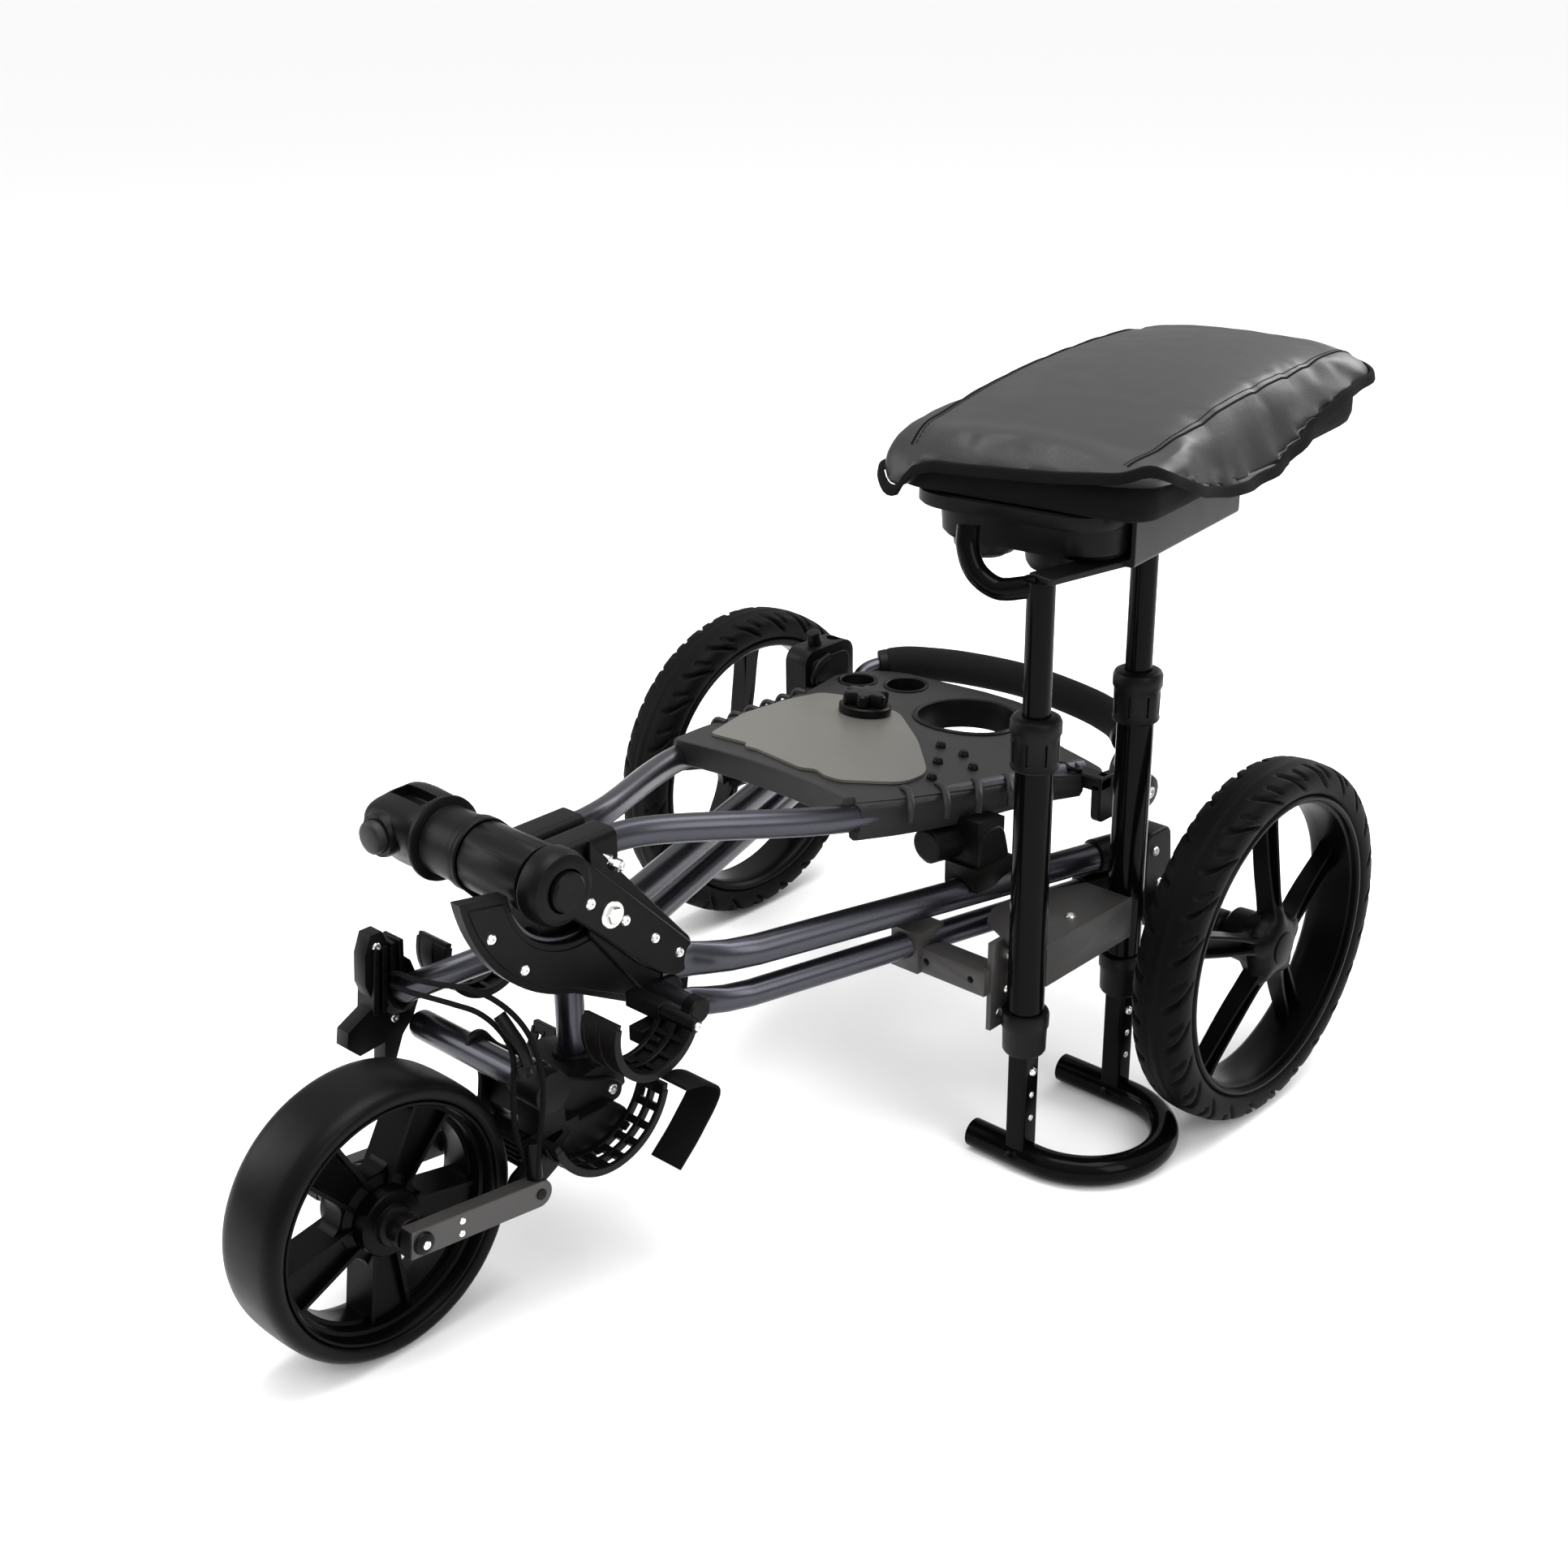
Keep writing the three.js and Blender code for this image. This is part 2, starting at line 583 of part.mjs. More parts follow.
// From the yoke's sleeve, bending outwards under the console's edge.
function handlePath(sign) {
  return smoothPath([
    [sign * 16, -474, 302],
    [sign * 16, -442, 302],
    [sign * 22, -410, 300.5],
    consolePoint(sign * 86, 0, -15),
    consolePoint(sign * 103, 110, -15),
    consolePoint(sign * 116, 190, -14),
    consolePoint(sign * 125, 238, -13),
  ]);
}

const handleTube = (sign, extra = 0) => tubeAlong(handlePath(sign), 10 + extra, 18);

const CUPS = [
  { u: -118, v: 248, radius: 15 },
  { u: -80, v: 267, radius: 17 },
];
const PANEL_TOP = 2.5;
const BOTTLE_RING = { u: 8, v: 240, radius: 41 };
const TEE_HOLES = [
  [43, 162],
  [66, 130],
  [86, 98],
  [66, 162],
  [88, 146],
];

function consoleOutline() {
  const shape = new THREE.Shape();
  shape.moveTo(-87, 0);
  shape.quadraticCurveTo(0, 22, 87, 0);
  shape.lineTo(100, 44);
  shape.lineTo(113, 111);
  shape.lineTo(124, 188);
  shape.lineTo(142, 232);
  shape.quadraticCurveTo(146, 246, 134, 247);
  shape.lineTo(100, 250);
  shape.quadraticCurveTo(72, 256, 64, 276);
  shape.quadraticCurveTo(50, 296, 10, 299);
  shape.lineTo(-20, 299);
  shape.lineTo(-96, 291);
  shape.quadraticCurveTo(-134, 282, -141, 245);
  shape.lineTo(-124, 188);
  shape.lineTo(-113, 111);
  shape.lineTo(-100, 44);
  return shape;
}

function consoleTray() {
  const top = plateZ(consoleOutline(), -7, 0, 6);
  const rail = [
    [64, 7],
    [87, 1],
    [100, 44],
    [113, 111],
    [124, 188],
    [134, 214],
    [112, 220],
    [100, 190],
    [89, 113],
    [76, 46],
  ];
  const rails = [1, -1].map((sign) => plateZ(rail.map(([u, v]) => [sign * u, v]), -26, -2));
  const ring = plateZ(disc(BOTTLE_RING.u, BOTTLE_RING.v, BOTTLE_RING.radius + 5), -22, 0, 10);
  const holes = [BOTTLE_RING, ...CUPS].map(({ u, v, radius }) => plateZ(disc(u, v, radius), -30, 5, 10));
  const tees = TEE_HOLES.map(([u, v]) => plateZ(disc(u, v, 3.2), -30, 5, 4));
  const shell = onConsole(cut(joined(top, ...rails, ring), ...holes, ...tees));
  const { y, z } = GRIP_AXIS;
  const arm = box([118, -50, 250], [156, -34, 262]);
  const plate = box([147, -50, z - 14], [156, y + 14, 262]);
  const boss = rodX(147, 168, y, z, 14, 24);
  const pin = rodX(129, 150, y, z, 4, 12);
  const tubes = [-1, 1].map((sign) => handleTube(sign, GAP));
  return cut(joined(shell, arm, plate, boss, pin), ...tubes);
}

// The thin card holder laid on the tray's front half.
function consolePanel() {
  const outline = [
    [-80, 28],
    [-30, 26],
    [20, 16],
    [52, 22],
    [84, 66],
    [78, 100],
    [25, 154],
    [-36, 203],
    [-95, 203],
    [-112, 190],
    [-112, 150],
    [-104, 90],
  ];
  const tees = TEE_HOLES.map(([u, v]) => plateZ(disc(u, v, 3.2), -5, 5, 4));
  return onConsole(cut(plateZ(polygon(outline), GAP, PANEL_TOP), ...tees));
}

// A six-lobed thumb knob that stands on the panel.
function consoleKnob() {
  const base = rodZ(0, 0, 0, 7, 21.5, 24);
  const head = rodZ(0, 0, 7, 18, 13, 18);
  const lobes = [0, 1, 2, 3, 4, 5].map((i) => {
    const turn = (i * Math.PI) / 3;
    return rodZ(14 * Math.cos(turn), 14 * Math.sin(turn), 5, 17, 5.4, 10);
  });
  return onConsole(joined(base, head, ...lobes).translate(-50, 178, PANEL_TOP + GAP));
}

// Under the console, a cup that comes down on the right leg's upper bar when the handle is folded.
function latchClip() {
  const stem = box([108, -172, 214], [132, -140, 265]);
  const cup = box([104, -176, 203], [136, -134, 222]);
  const roller = rod([100, -192, 238], [106, -160, 236], 14, 20);
  const consoleRoom = onConsole(box([60, 60, -26 - GAP], [160, 160, 20]));
  return cut(joined(stem, cup, roller), legBar(1, UPPER_BAR, 1), consoleRoom);
}

function umbrellaHolder() {
  const { y, z } = GRIP_AXIS;
  const block = plateX(roundedRectangle(-50, 228, 12, 292, 12), -176, -152.6, 8);
  const clamp = box([-154, -47, 240], [-114, -33, 258]);
  const pin = rodX(-154, -129, y, z, 4, 12);
  const knob = rod([-164, -24, 288], [-164, -28, 304], 6, 16);
  const socket = rodZ(-164.3, 0, 220, 300, 7, 16);
  return cut(joined(block, clamp, pin, knob), socket, handleTube(-1, GAP));
}

// ---- Handle loop --------------------------------------------------------------------------------------
const LOOP_SIDE = [
  [137, GRIP_AXIS.y, GRIP_AXIS.z],
  [138, 2, 252],
  [137, 13, 263],
  [119, 35, 269],
  [88, 50, 271],
  [46, 58, 273],
];
const loopPath = smoothPath([
  ...LOOP_SIDE,
  [0, 61, 274],
  ...LOOP_SIDE.map(([x, y, z]) => [-x, y, z]).reverse(),
]);

function handleLoop() {
  const tube = tubeAlong(loopPath, 8, 28, 10);
  const { y, z } = GRIP_AXIS;
  const eyes = [-1, 1].map((sign) => rodX(sign * 129.4, sign * 146.6, y, z, 11, 20));
  const bores = [-1, 1].map((sign) => rodX(sign * 125, sign * 150, y, z, 4 + GAP, 12));
  return cut(joined(tube, ...eyes), ...bores);
}

function handleGrip() {
  const from = 0.13;
  const points = [];
  for (let i = 0; i <= 24; i += 1) {
    points.push(loopPath.getPointAt(from + ((1 - 2 * from) * i) / 24));
  }
  const path = new THREE.CatmullRomCurve3(points, false, "centripetal");
  return cut(tubeAlong(path, 14.5, 22, 12), tubeAlong(loopPath, 8.6, 28, 10));
}

function addHandle() {
  for (const [side, sign] of Object.entries(SIDES)) {
    add(`handle_tube_${side}`, handleTube(sign), GREY_TUBE);
  }
  add("console_tray", consoleTray(), CHARCOAL);
  add("console_panel", consolePanel(), TITANIUM);
  add("console_knob", consoleKnob(), BLACK_PLASTIC);
  add("latch_clip", latchClip(), BLACK_PLASTIC);
  add("umbrella_holder", umbrellaHolder(), BLACK_PLASTIC);
  add("handle_loop", handleLoop(), GREY_TUBE);
  add("handle_grip", handleGrip(), FOAM);
}

// ---- Seat ---------------------------------------------------------------------------------------------
// The welded bracket between the lower leg bar and the two seat tubes.
function seatBracket() {
  const beam = box([186, -190, 155], [209, -75, 189]);
  const topPlate = plateZ(
    [
      [144, -143],
      [144, -169],
      [153, -186],
      [192, -206],
      [211, -190],
      [211, -84],
      [170, -84],
    ],
    188,
    191,
  );
  const upright = box([175, -213, 118], [179, -186, 190]);
  const arm = box([110, -219, 148], [177, -199, 168]);
  const clamp = box([92, -224, 148], [118, -194, 181]);
  const uprightHole = rodX(170, 185, -202, 129, 4, 12);
  const armHoles = [122, 164].map((x) => rod([x, -230, 158], [x, -190, 158], 3, 12));
  const tubes = Object.values(POST_Y).map((y) => rodZ(POST_X, y, 90, 380, SEAT_TUBE.radius + GAP, 20));
  const bars = [legBar(1, UPPER_BAR, 0.6), legBar(1, LOWER_BAR, GAP)];
  return cut(joined(beam, topPlate, upright, arm, clamp), uprightHole, ...armHoles, ...tubes, ...bars);
}

function seatTube(y) {
  const { radius, bore, bottom, top } = SEAT_TUBE;
  return cut(rodZ(POST_X, y, bottom, top, radius, 20), rodZ(POST_X, y, bottom - 5, top + 5, bore, 20));
}

function upperCollar(y) {
  const sleeve = rodZ(POST_X, y, 330, 369, 18.5, 20);
  const tubeSocket = rodZ(POST_X, y, 320, SEAT_TUBE.top + GAP, SEAT_TUBE.radius + GAP, 20);
  return cut(sleeve, tubeSocket, rodZ(POST_X, y, 340, 380, POST_RADIUS + GAP, 20));
}

function lowerCollar(y) {
  const sleeve = rodZ(POST_X, y, 102, 136, 18, 20);
  const tubeSocket = rodZ(POST_X, y, SEAT_TUBE.bottom - GAP, 150, SEAT_TUBE.radius + GAP, 20);
  return cut(sleeve, tubeSocket, rodZ(POST_X, y, 90, 120, SEAT_TUBE.bore, 20));
}

// A point in the seat's own frame, p across and q rearwards, turned to the buggy's axes.
function seatPoint(p, q) {
  const turned = new THREE.Vector2(p, q).rotateAround(new THREE.Vector2(), SEAT_TURN);
  return [turned.x + SEAT_CENTRE[0], turned.y + SEAT_CENTRE[1]];
}

const onSeat = (geometry) => geometry.rotateZ(SEAT_TURN).translate(SEAT_CENTRE[0], SEAT_CENTRE[1], 0);

// Two posts, a folded steel channel on top of them and a bent hook tube in front, all welded.
function seatFrame() {
  const posts = Object.values(POST_Y).map((y) => rodZ(POST_X, y, 262, 470, POST_RADIUS));
  const flange = onSeat(box([42, -150, 468], [74, 18, 473]));
  const web = onSeat(box([69, -150, 468], [74, 18, 508]));
  const strip = bar([...seatPoint(35, -212), 470], [...seatPoint(58, -140), 470], 22, 5);
  const hook = smoothPath([
    [140, -203, 496],
    [142, -206, 482],
    [150, -206, 466],
    [166, -203, 457],
    [184, -199, 460],
    [198, -196, 465],
  ]);
  return joined(...posts, flange, web, strip, tubeAlong(hook, 8, 14, 12));
}

function seatTray() {
  const pan = plateZ(roundedRectangle(-76, -180, 66, 150, 34), 474, 500);
  const rim = plateZ(roundedRectangle(-92, -190, 68, 168, 40), 498, 510);
  const lobes = [
    [-50, -140, 24, 458],
    [9, -127, 30, 452],
  ].map(([p, q, radius, low]) => rodZ(p, q, low, 476, radius, 24));
  const pocket = plateZ(roundedRectangle(-72, -176, 62, 146, 30), 478, 520);
  const tray = onSeat(cut(joined(pan, rim, ...lobes), pocket));
  const hookRoom = rod([140, -203, 520], [141, -205, 470], 8 + 2 * GAP, 16);
  return cut(tray, hookRoom);
}

function seatPad() {
  const edge = 12;
  const [halfWidth, halfLength] = SEAT_HALF.map((half) => half - edge);
  const outline = roundedRectangle(-halfWidth, -halfLength, halfWidth, halfLength, 40);
  const pad = new THREE.ExtrudeGeometry(outline, {
    depth: 26,
    bevelThickness: edge,
    bevelSize: edge,
    bevelSegments: 3,
    curveSegments: 4,
  });
  return onSeat(pad.translate(0, 0, 510.4 + edge));
}

// The lower legs are square and stand on one U-shaped foot tube.
function seatFoot() {
  const { front, rear } = POST_Y;
  const bend = { x: 211, y: (front + rear) / 2, radius: (rear - front) / 2 };
  const points = [
    [153, front],
    [180, front],
  ];
  for (let step = 0; step <= 12; step += 1) {
    const turn = -Math.PI / 2 + (step * Math.PI) / 12;
    points.push([bend.x + bend.radius * Math.cos(turn), bend.y + bend.radius * Math.sin(turn)]);
  }
  points.push([180, rear], [147, rear]);
  const path = smoothPath(points.map(([x, y]) => [x, y, FOOT_RADIUS]));
  const half = LEG_SIDE / 2;
  const legs = [front, rear].map((y) => box([POST_X - half, y - half, 14], [POST_X + half, y + half, 185]));
  const boreRadius = SNAP_RADIUS + GAP;
  const bores = [front, rear].map((y) => rodX(POST_X - 2, POST_X + 20, y, SNAP_HEIGHT, boreRadius, 12));
  return cut(joined(tubeAlong(path, FOOT_RADIUS, 20, 14), ...legs), ...bores);
}

function addSeat() {
  add("seat_bracket", seatBracket(), GREY_PAINT);
  for (const [place, y] of Object.entries(POST_Y)) {
    add(`seat_tube_${place}`, seatTube(y), GLOSS_BLACK);
    add(`upper_collar_${place}`, upperCollar(y), BLACK_PLASTIC);
    add(`lower_collar_${place}`, lowerCollar(y), BLACK_PLASTIC);
    const snap = rodX(POST_X + 2, POST_X + 11.5, y, SNAP_HEIGHT, SNAP_RADIUS, 12);
    add(`snap_button_${place}`, snap, STEEL);
  }
  add("seat_frame", seatFrame(), GLOSS_BLACK);
  add("seat_tray", seatTray(), BLACK_PLASTIC);
  add("seat_pad", seatPad(), LEATHERETTE);
  add("seat_foot", seatFoot(), GLOSS_BLACK);
}

// ---- Elastic cord -------------------------------------------------------------------------------------
// Two strands leave the bag rest, arch over to the right and drop to the right fork arm's round heel.
function addCord() {
  const outer = smoothPath([
    [-94, -547, 203],
    [-80, -551, 209],
    [-60, -555, 214],
    [-41, -557, 219],
    [-22, -558, 224],
    [5, -558, 231],
    [28, -557, 232],
    [44, -554, 226],
    [53, -549, 213],
    [57, -545, 196],
    [58.5, -543, 178],
    [58, -543, 160],
    [57, -545, 142],
    [56, -547.5, 126],
    [55, -549, 111],
    [54, -549, 98.6],
  ]);
  const inner = smoothPath([
    [-94, -549, 195],
    [-76, -555, 201],
    [-57, -559, 206],
    [-30, -561, 212],
    [-4, -562, 217],
    [18, -561, 219],
    [34, -560, 215],
    [44, -558, 205],
    [47, -557, 193],
    [46, -557, 178],
    [45, -558, 160],
    [45, -558, 142],
    [46, -556, 126],
    [47.5, -552, 111],
    [48.5, -549, 98.6],
  ]);
  add("elastic_cord", tubeAlong(outer, 2, 28, 8), WEBBING);
  add("elastic_cord_inner", tubeAlong(inner, 2, 28, 8), WEBBING);
}

addWheels();
addFork();
addLowerFrame();
addBagRests();
addMainJoint();
addLegs();
addHandle();
addSeat();
addCord();

// ---- Origin -------------------------------------------------------------------------------------------
const bounds = new THREE.Box3().setFromObject(buggy);
const middle = bounds.getCenter(new THREE.Vector3());
buggy.position.set(-middle.x, -middle.y, -bounds.min.z);

export default buggy;
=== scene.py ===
"""Looks of a folded three-wheel push buggy with a clip-on padded seat.

Shapes are laid out in the buggy's own millimetres: x to the right, y rearwards from the rear axle,
z up from the floor. place() turns them into metres in the frame's axes.
"""

import math

import bmesh
import bpy
from mathutils import Matrix, Vector
from mathutils.bvhtree import BVHTree


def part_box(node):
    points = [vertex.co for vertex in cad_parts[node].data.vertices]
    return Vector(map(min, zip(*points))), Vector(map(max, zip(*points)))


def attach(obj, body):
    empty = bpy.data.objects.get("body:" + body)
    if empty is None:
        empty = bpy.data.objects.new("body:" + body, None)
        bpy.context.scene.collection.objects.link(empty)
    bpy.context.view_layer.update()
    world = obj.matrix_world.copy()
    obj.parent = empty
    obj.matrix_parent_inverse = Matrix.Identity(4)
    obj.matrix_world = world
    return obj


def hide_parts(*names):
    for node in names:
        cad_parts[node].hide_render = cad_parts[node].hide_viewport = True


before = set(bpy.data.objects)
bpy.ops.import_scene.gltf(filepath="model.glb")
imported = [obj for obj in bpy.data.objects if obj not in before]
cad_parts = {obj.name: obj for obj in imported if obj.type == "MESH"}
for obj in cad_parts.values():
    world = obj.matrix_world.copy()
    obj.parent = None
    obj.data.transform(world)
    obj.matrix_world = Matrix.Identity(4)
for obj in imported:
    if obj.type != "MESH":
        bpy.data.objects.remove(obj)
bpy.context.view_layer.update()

# ---- Driving dimensions, mm ---------------------------------------------------------------------------
FRONT_AXLE = (-648, 100)  # y, z
REAR_AXLE = (0, 145)
REAR_HALF_TRACK = 274
FOLD_AXIS = (-508, 300)
FORK_PIVOT = (-548, 87)
GRIP_AXIS = (2, 238)
POST_X = 197.5
POST_Y = {"front": -195, "rear": -70}
SEAT_CENTRE = (140, 5)
SEAT_TURN = math.radians(7)
CONSOLE_TILT = math.radians(-7.1)
SIDES = {"left": -1, "right": 1}

tyre_low, tyre_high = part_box("front_tyre")
REAR_SHIFT = (tyre_low.y + tyre_high.y) / 2 - FRONT_AXLE[0] / 1000  # row y of the rear axle, in metres
TO_ROW = Matrix.Translation((0, REAR_SHIFT, 0)) @ Matrix.Scale(0.001, 4)
ON_CONSOLE = Matrix.Translation((0, -268, 297)) @ Matrix.Rotation(CONSOLE_TILT, 4, "X")
ON_SEAT = Matrix.Translation((*SEAT_CENTRE, 0)) @ Matrix.Rotation(SEAT_TURN, 4, "Z")


# ---- Materials ----------------------------------------------------------------------------------------
def material(
    name, colour, rough, metal=0.0, mottle=0.06, grain=0.0, grain_scale=900.0, coat=0.0, shine=0.5,
):
    """A Principled material with uneven roughness and a fine raised grain, both procedural."""
    made = bpy.data.materials.new(name)
    made.use_nodes = True
    nodes, links = made.node_tree.nodes, made.node_tree.links
    shader = nodes["Principled BSDF"]
    shader.inputs["Base Color"].default_value = (*colour, 1)
    shader.inputs["Metallic"].default_value = metal
    shader.inputs["Coat Weight"].default_value = coat
    shader.inputs["Coat Roughness"].default_value = 0.12
    shader.inputs["Specular IOR Level"].default_value = shine
    place_of = nodes.new("ShaderNodeTexCoord").outputs["Object"]

    cloud = nodes.new("ShaderNodeTexNoise")
    cloud.inputs["Scale"].default_value = 45
    cloud.inputs["Detail"].default_value = 6
    links.new(place_of, cloud.inputs["Vector"])
    spread = nodes.new("ShaderNodeMapRange")
    spread.inputs["To Min"].default_value = max(rough - mottle, 0.02)
    spread.inputs["To Max"].default_value = min(rough + mottle, 1)
    links.new(cloud.outputs["Fac"], spread.inputs["Value"])
    links.new(spread.outputs["Result"], shader.inputs["Roughness"])

    if grain:
        speck = nodes.new("ShaderNodeTexNoise")
        speck.inputs["Scale"].default_value = grain_scale
        speck.inputs["Detail"].default_value = 3
        links.new(place_of, speck.inputs["Vector"])
        bump = nodes.new("ShaderNodeBump")
        bump.inputs["Strength"].default_value = grain
        bump.inputs["Distance"].default_value = 0.0004
        links.new(speck.outputs["Fac"], bump.inputs["Height"])
        links.new(bump.outputs["Normal"], shader.inputs["Normal"])
    return made


def woven(name, colour, threads=700.0):
    """Woven tape: two crossed waves raise the threads."""
    made = material(name, colour, 0.85, shine=0.1)
    nodes, links = made.node_tree.nodes, made.node_tree.links
    place_of = nodes.new("ShaderNodeTexCoord").outputs["Object"]
    total = nodes.new("ShaderNodeMath")
    for slot, direction in enumerate(("X", "Z")):
        wave = nodes.new("ShaderNodeTexWave")
        wave.bands_direction = direction
        wave.inputs["Scale"].default_value = threads
        wave.inputs["Distortion"].default_value = 0.6
        links.new(place_of, wave.inputs["Vector"])
        links.new(wave.outputs["Fac"], total.inputs[slot])
    bump = nodes.new("ShaderNodeBump")
    bump.inputs["Strength"].default_value = 0.35
    bump.inputs["Distance"].default_value = 0.0005
    links.new(total.outputs["Value"], bump.inputs["Height"])
    links.new(bump.outputs["Normal"], nodes["Principled BSDF"].inputs["Normal"])
    return made


TREAD = material("tread_rubber", (0.0026, 0.0023, 0.0022), 0.52, grain=0.35, grain_scale=1500, shine=0.05)
SMOOTH_RUBBER = material(
    "smooth_rubber", (0.0022, 0.0018, 0.0019), 0.36, mottle=0.1, grain=0.12, shine=0.08,
)
PLASTIC = material("black_plastic", (0.0029, 0.0025, 0.0024), 0.36, grain=0.2, grain_scale=2600, shine=0.1)
RIM = material("rim_plastic", (0.0014, 0.0011, 0.0011), 0.32, grain=0.1, grain_scale=2600, shine=0.06)
CHARCOAL = material(
    "charcoal_plastic", (0.0125, 0.012, 0.0118), 0.44, grain=0.3, grain_scale=2400, shine=0.2,
)
PANEL = material("panel_grey", (0.150, 0.143, 0.128), 0.40, metal=0.5, grain=0.08, grain_scale=1800)
ANODISED = material("anodised_grey", (0.055, 0.055, 0.066), 0.28, metal=0.92, mottle=0.03, grain=0.04)
GLOSS = material("gloss_black", (0.0016, 0.0015, 0.0015), 0.15, coat=0.02, mottle=0.04, shine=0.05)
SATIN = material("satin_black", (0.0055, 0.0057, 0.006), 0.36, grain=0.2, grain_scale=1700, shine=0.11)
PAINTED = material("painted_grey", (0.036, 0.034, 0.033), 0.42, metal=0.2, grain=0.3, grain_scale=1700)
ZINC = material("bright_zinc", (0.78, 0.78, 0.76), 0.24, metal=1.0, grain=0.1)
FOAM = material("foam_sleeve", (0.0065, 0.0063, 0.0063), 0.9, grain=0.8, grain_scale=1100, shine=0.1)
VINYL = material(
    "vinyl_cover", (0.0125, 0.0125, 0.0138), 0.40, mottle=0.1, grain=0.35, grain_scale=750, shine=0.28,
)
TAPE = woven("binding_tape", (0.002, 0.002, 0.002))
WEBBING = woven("webbing", (0.0022, 0.0022, 0.0022), 500)


# ---- Shape tools --------------------------------------------------------------------------------------
def place(name, shape, look, body, bevel=0.0, crease=35.0, replaces=()):
    """Makes a named piece from a bmesh in design millimetres, riding on a body."""
    bmesh.ops.recalc_face_normals(shape, faces=shape.faces)
    shape.transform(TO_ROW)
    for face in shape.faces:
        face.smooth = True
    for edge in shape.edges:
        if len(edge.link_faces) == 2 and not bevel:
            edge.smooth = edge.calc_face_angle(0) < math.radians(crease)
    mesh = bpy.data.meshes.new(name)
    shape.to_mesh(mesh)
    shape.free()
    mesh.materials.append(look)
    piece = bpy.data.objects.new(name, mesh)
    bpy.context.scene.collection.objects.link(piece)
    if bevel:
        edges = piece.modifiers.new("edges", "BEVEL")
        edges.width = bevel / 1000
        edges.segments = 3
        edges.limit_method = "ANGLE"
        edges.angle_limit = math.radians(crease)
        edges.harden_normals = True
    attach(piece, body)
    if replaces:
        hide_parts(*replaces)
    return piece


def stand_in(node, shape, look, body, side="", **edging):
    """A piece that takes a CAD node's place and is named after it."""
    ending = f"_{side}" if side else ""
    return place(f"{node}_look{ending}", shape, look, body, replaces=[f"{node}{ending}"], **edging)


def merged(*shapes):
    """Several bmeshes as one; their closed solids may pass through each other."""
    whole = bmesh.new()
    for shape in shapes:
        carrier = bpy.data.meshes.new("carrier")
        shape.to_mesh(carrier)
        shape.free()
        whole.from_mesh(carrier)
        bpy.data.meshes.remove(carrier)
    return whole


def boolean(base, tools):
    """Cuts the tools from the base."""
    holders = []
    for shape in (base, *tools):
        bmesh.ops.recalc_face_normals(shape, faces=shape.faces)
        mesh = bpy.data.meshes.new("tool")
        shape.to_mesh(mesh)
        shape.free()
        holder = bpy.data.objects.new("tool", mesh)
        bpy.context.scene.collection.objects.link(holder)
        holders.append(holder)
    for tool in holders[1:]:
        cutter = holders[0].modifiers.new("cut", "BOOLEAN")
        cutter.operation = "DIFFERENCE"
        cutter.solver = "EXACT"
        cutter.object = tool
    result = bmesh.new()
    result.from_object(holders[0], bpy.context.evaluated_depsgraph_get())
    for holder in holders:
        mesh = holder.data
        bpy.data.objects.remove(holder)
        bpy.data.meshes.remove(mesh)
    bmesh.ops.remove_doubles(result, verts=result.verts, dist=0.002)
    return result


def moved(shape, matrix):
    shape.transform(matrix)
    return shape


def rings_to_shape(rings, closed_along=False):
    """Skins a list of rings of points, each ring running round the shape."""
    shape = bmesh.new()
    loops = [[shape.verts.new(point) for point in ring] for ring in rings]
    pairs = list(zip(loops, loops[1:] + loops[:1] if closed_along else loops[1:]))
    for first, second in pairs:
        count = len(first)
        for i in range(count):
            j = (i + 1) % count
            shape.faces.new((first[i], first[j], second[j], second[i]))
    if not closed_along:
        shape.faces.new(reversed(loops[0]))
        shape.faces.new(loops[-1])
    return shape


def smooth_path(points, steps=10):
    """A centripetal Catmull-Rom path through the points."""
    spots = [Vector(point) for point in points]
    padded = [spots[0] * 2 - spots[1], *spots, spots[-1] * 2 - spots[-2]]
    path = []
    for i in range(len(spots) - 1):
        p0, p1, p2, p3 = padded[i : i + 4]
        d0, d1, d2 = (max((b - a).length, 1e-4) ** 0.5 for a, b in ((p0, p1), (p1, p2), (p2, p3)))
        out = ((p1 - p0) / d0 - (p2 - p0) / (d0 + d1) + (p2 - p1) / d1) * d1
        into = ((p2 - p1) / d1 - (p3 - p1) / (d1 + d2) + (p3 - p2) / d2) * d1
        for step in range(steps):
            t = step / steps
            blend = (2 * t**3 - 3 * t**2 + 1, t**3 - 2 * t**2 + t, -2 * t**3 + 3 * t**2, t**3 - t**2)
            path.append(p1 * blend[0] + out * blend[1] + p2 * blend[2] + into * blend[3])
    path.append(spots[-1])
    return path


def sweep(path, section, up=(0, 0, 1)):
    """Sweeps a section along a path. section(t) gives [(across, upwards)] at t from 0 to 1."""
    path = [Vector(point) for point in path]
    last = len(path) - 1
    rings = []
    up_now = Vector(up)
    for i, point in enumerate(path):
        tangent = (path[min(i + 1, last)] - path[max(i - 1, 0)]).normalized()
        across = tangent.cross(up_now).normalized()
        up_now = across.cross(tangent).normalized()
        rings.append([point + across * a + up_now * b for a, b in section(i / last)])
    return rings_to_shape(rings)


def circle(radius, sides=28, high=None):
    high = radius if high is None else high
    turns = [2 * math.pi * i / sides for i in range(sides)]
    return [(radius * math.cos(turn), high * math.sin(turn)) for turn in turns]


def tube(points, radius, sides=28, steps=10, up=(0, 0, 1), high=None, straight=False):
    path = [Vector(point) for point in points] if straight else smooth_path(points, steps)
    ring = circle(radius, sides, high)
    return sweep(path, lambda t: ring, up)


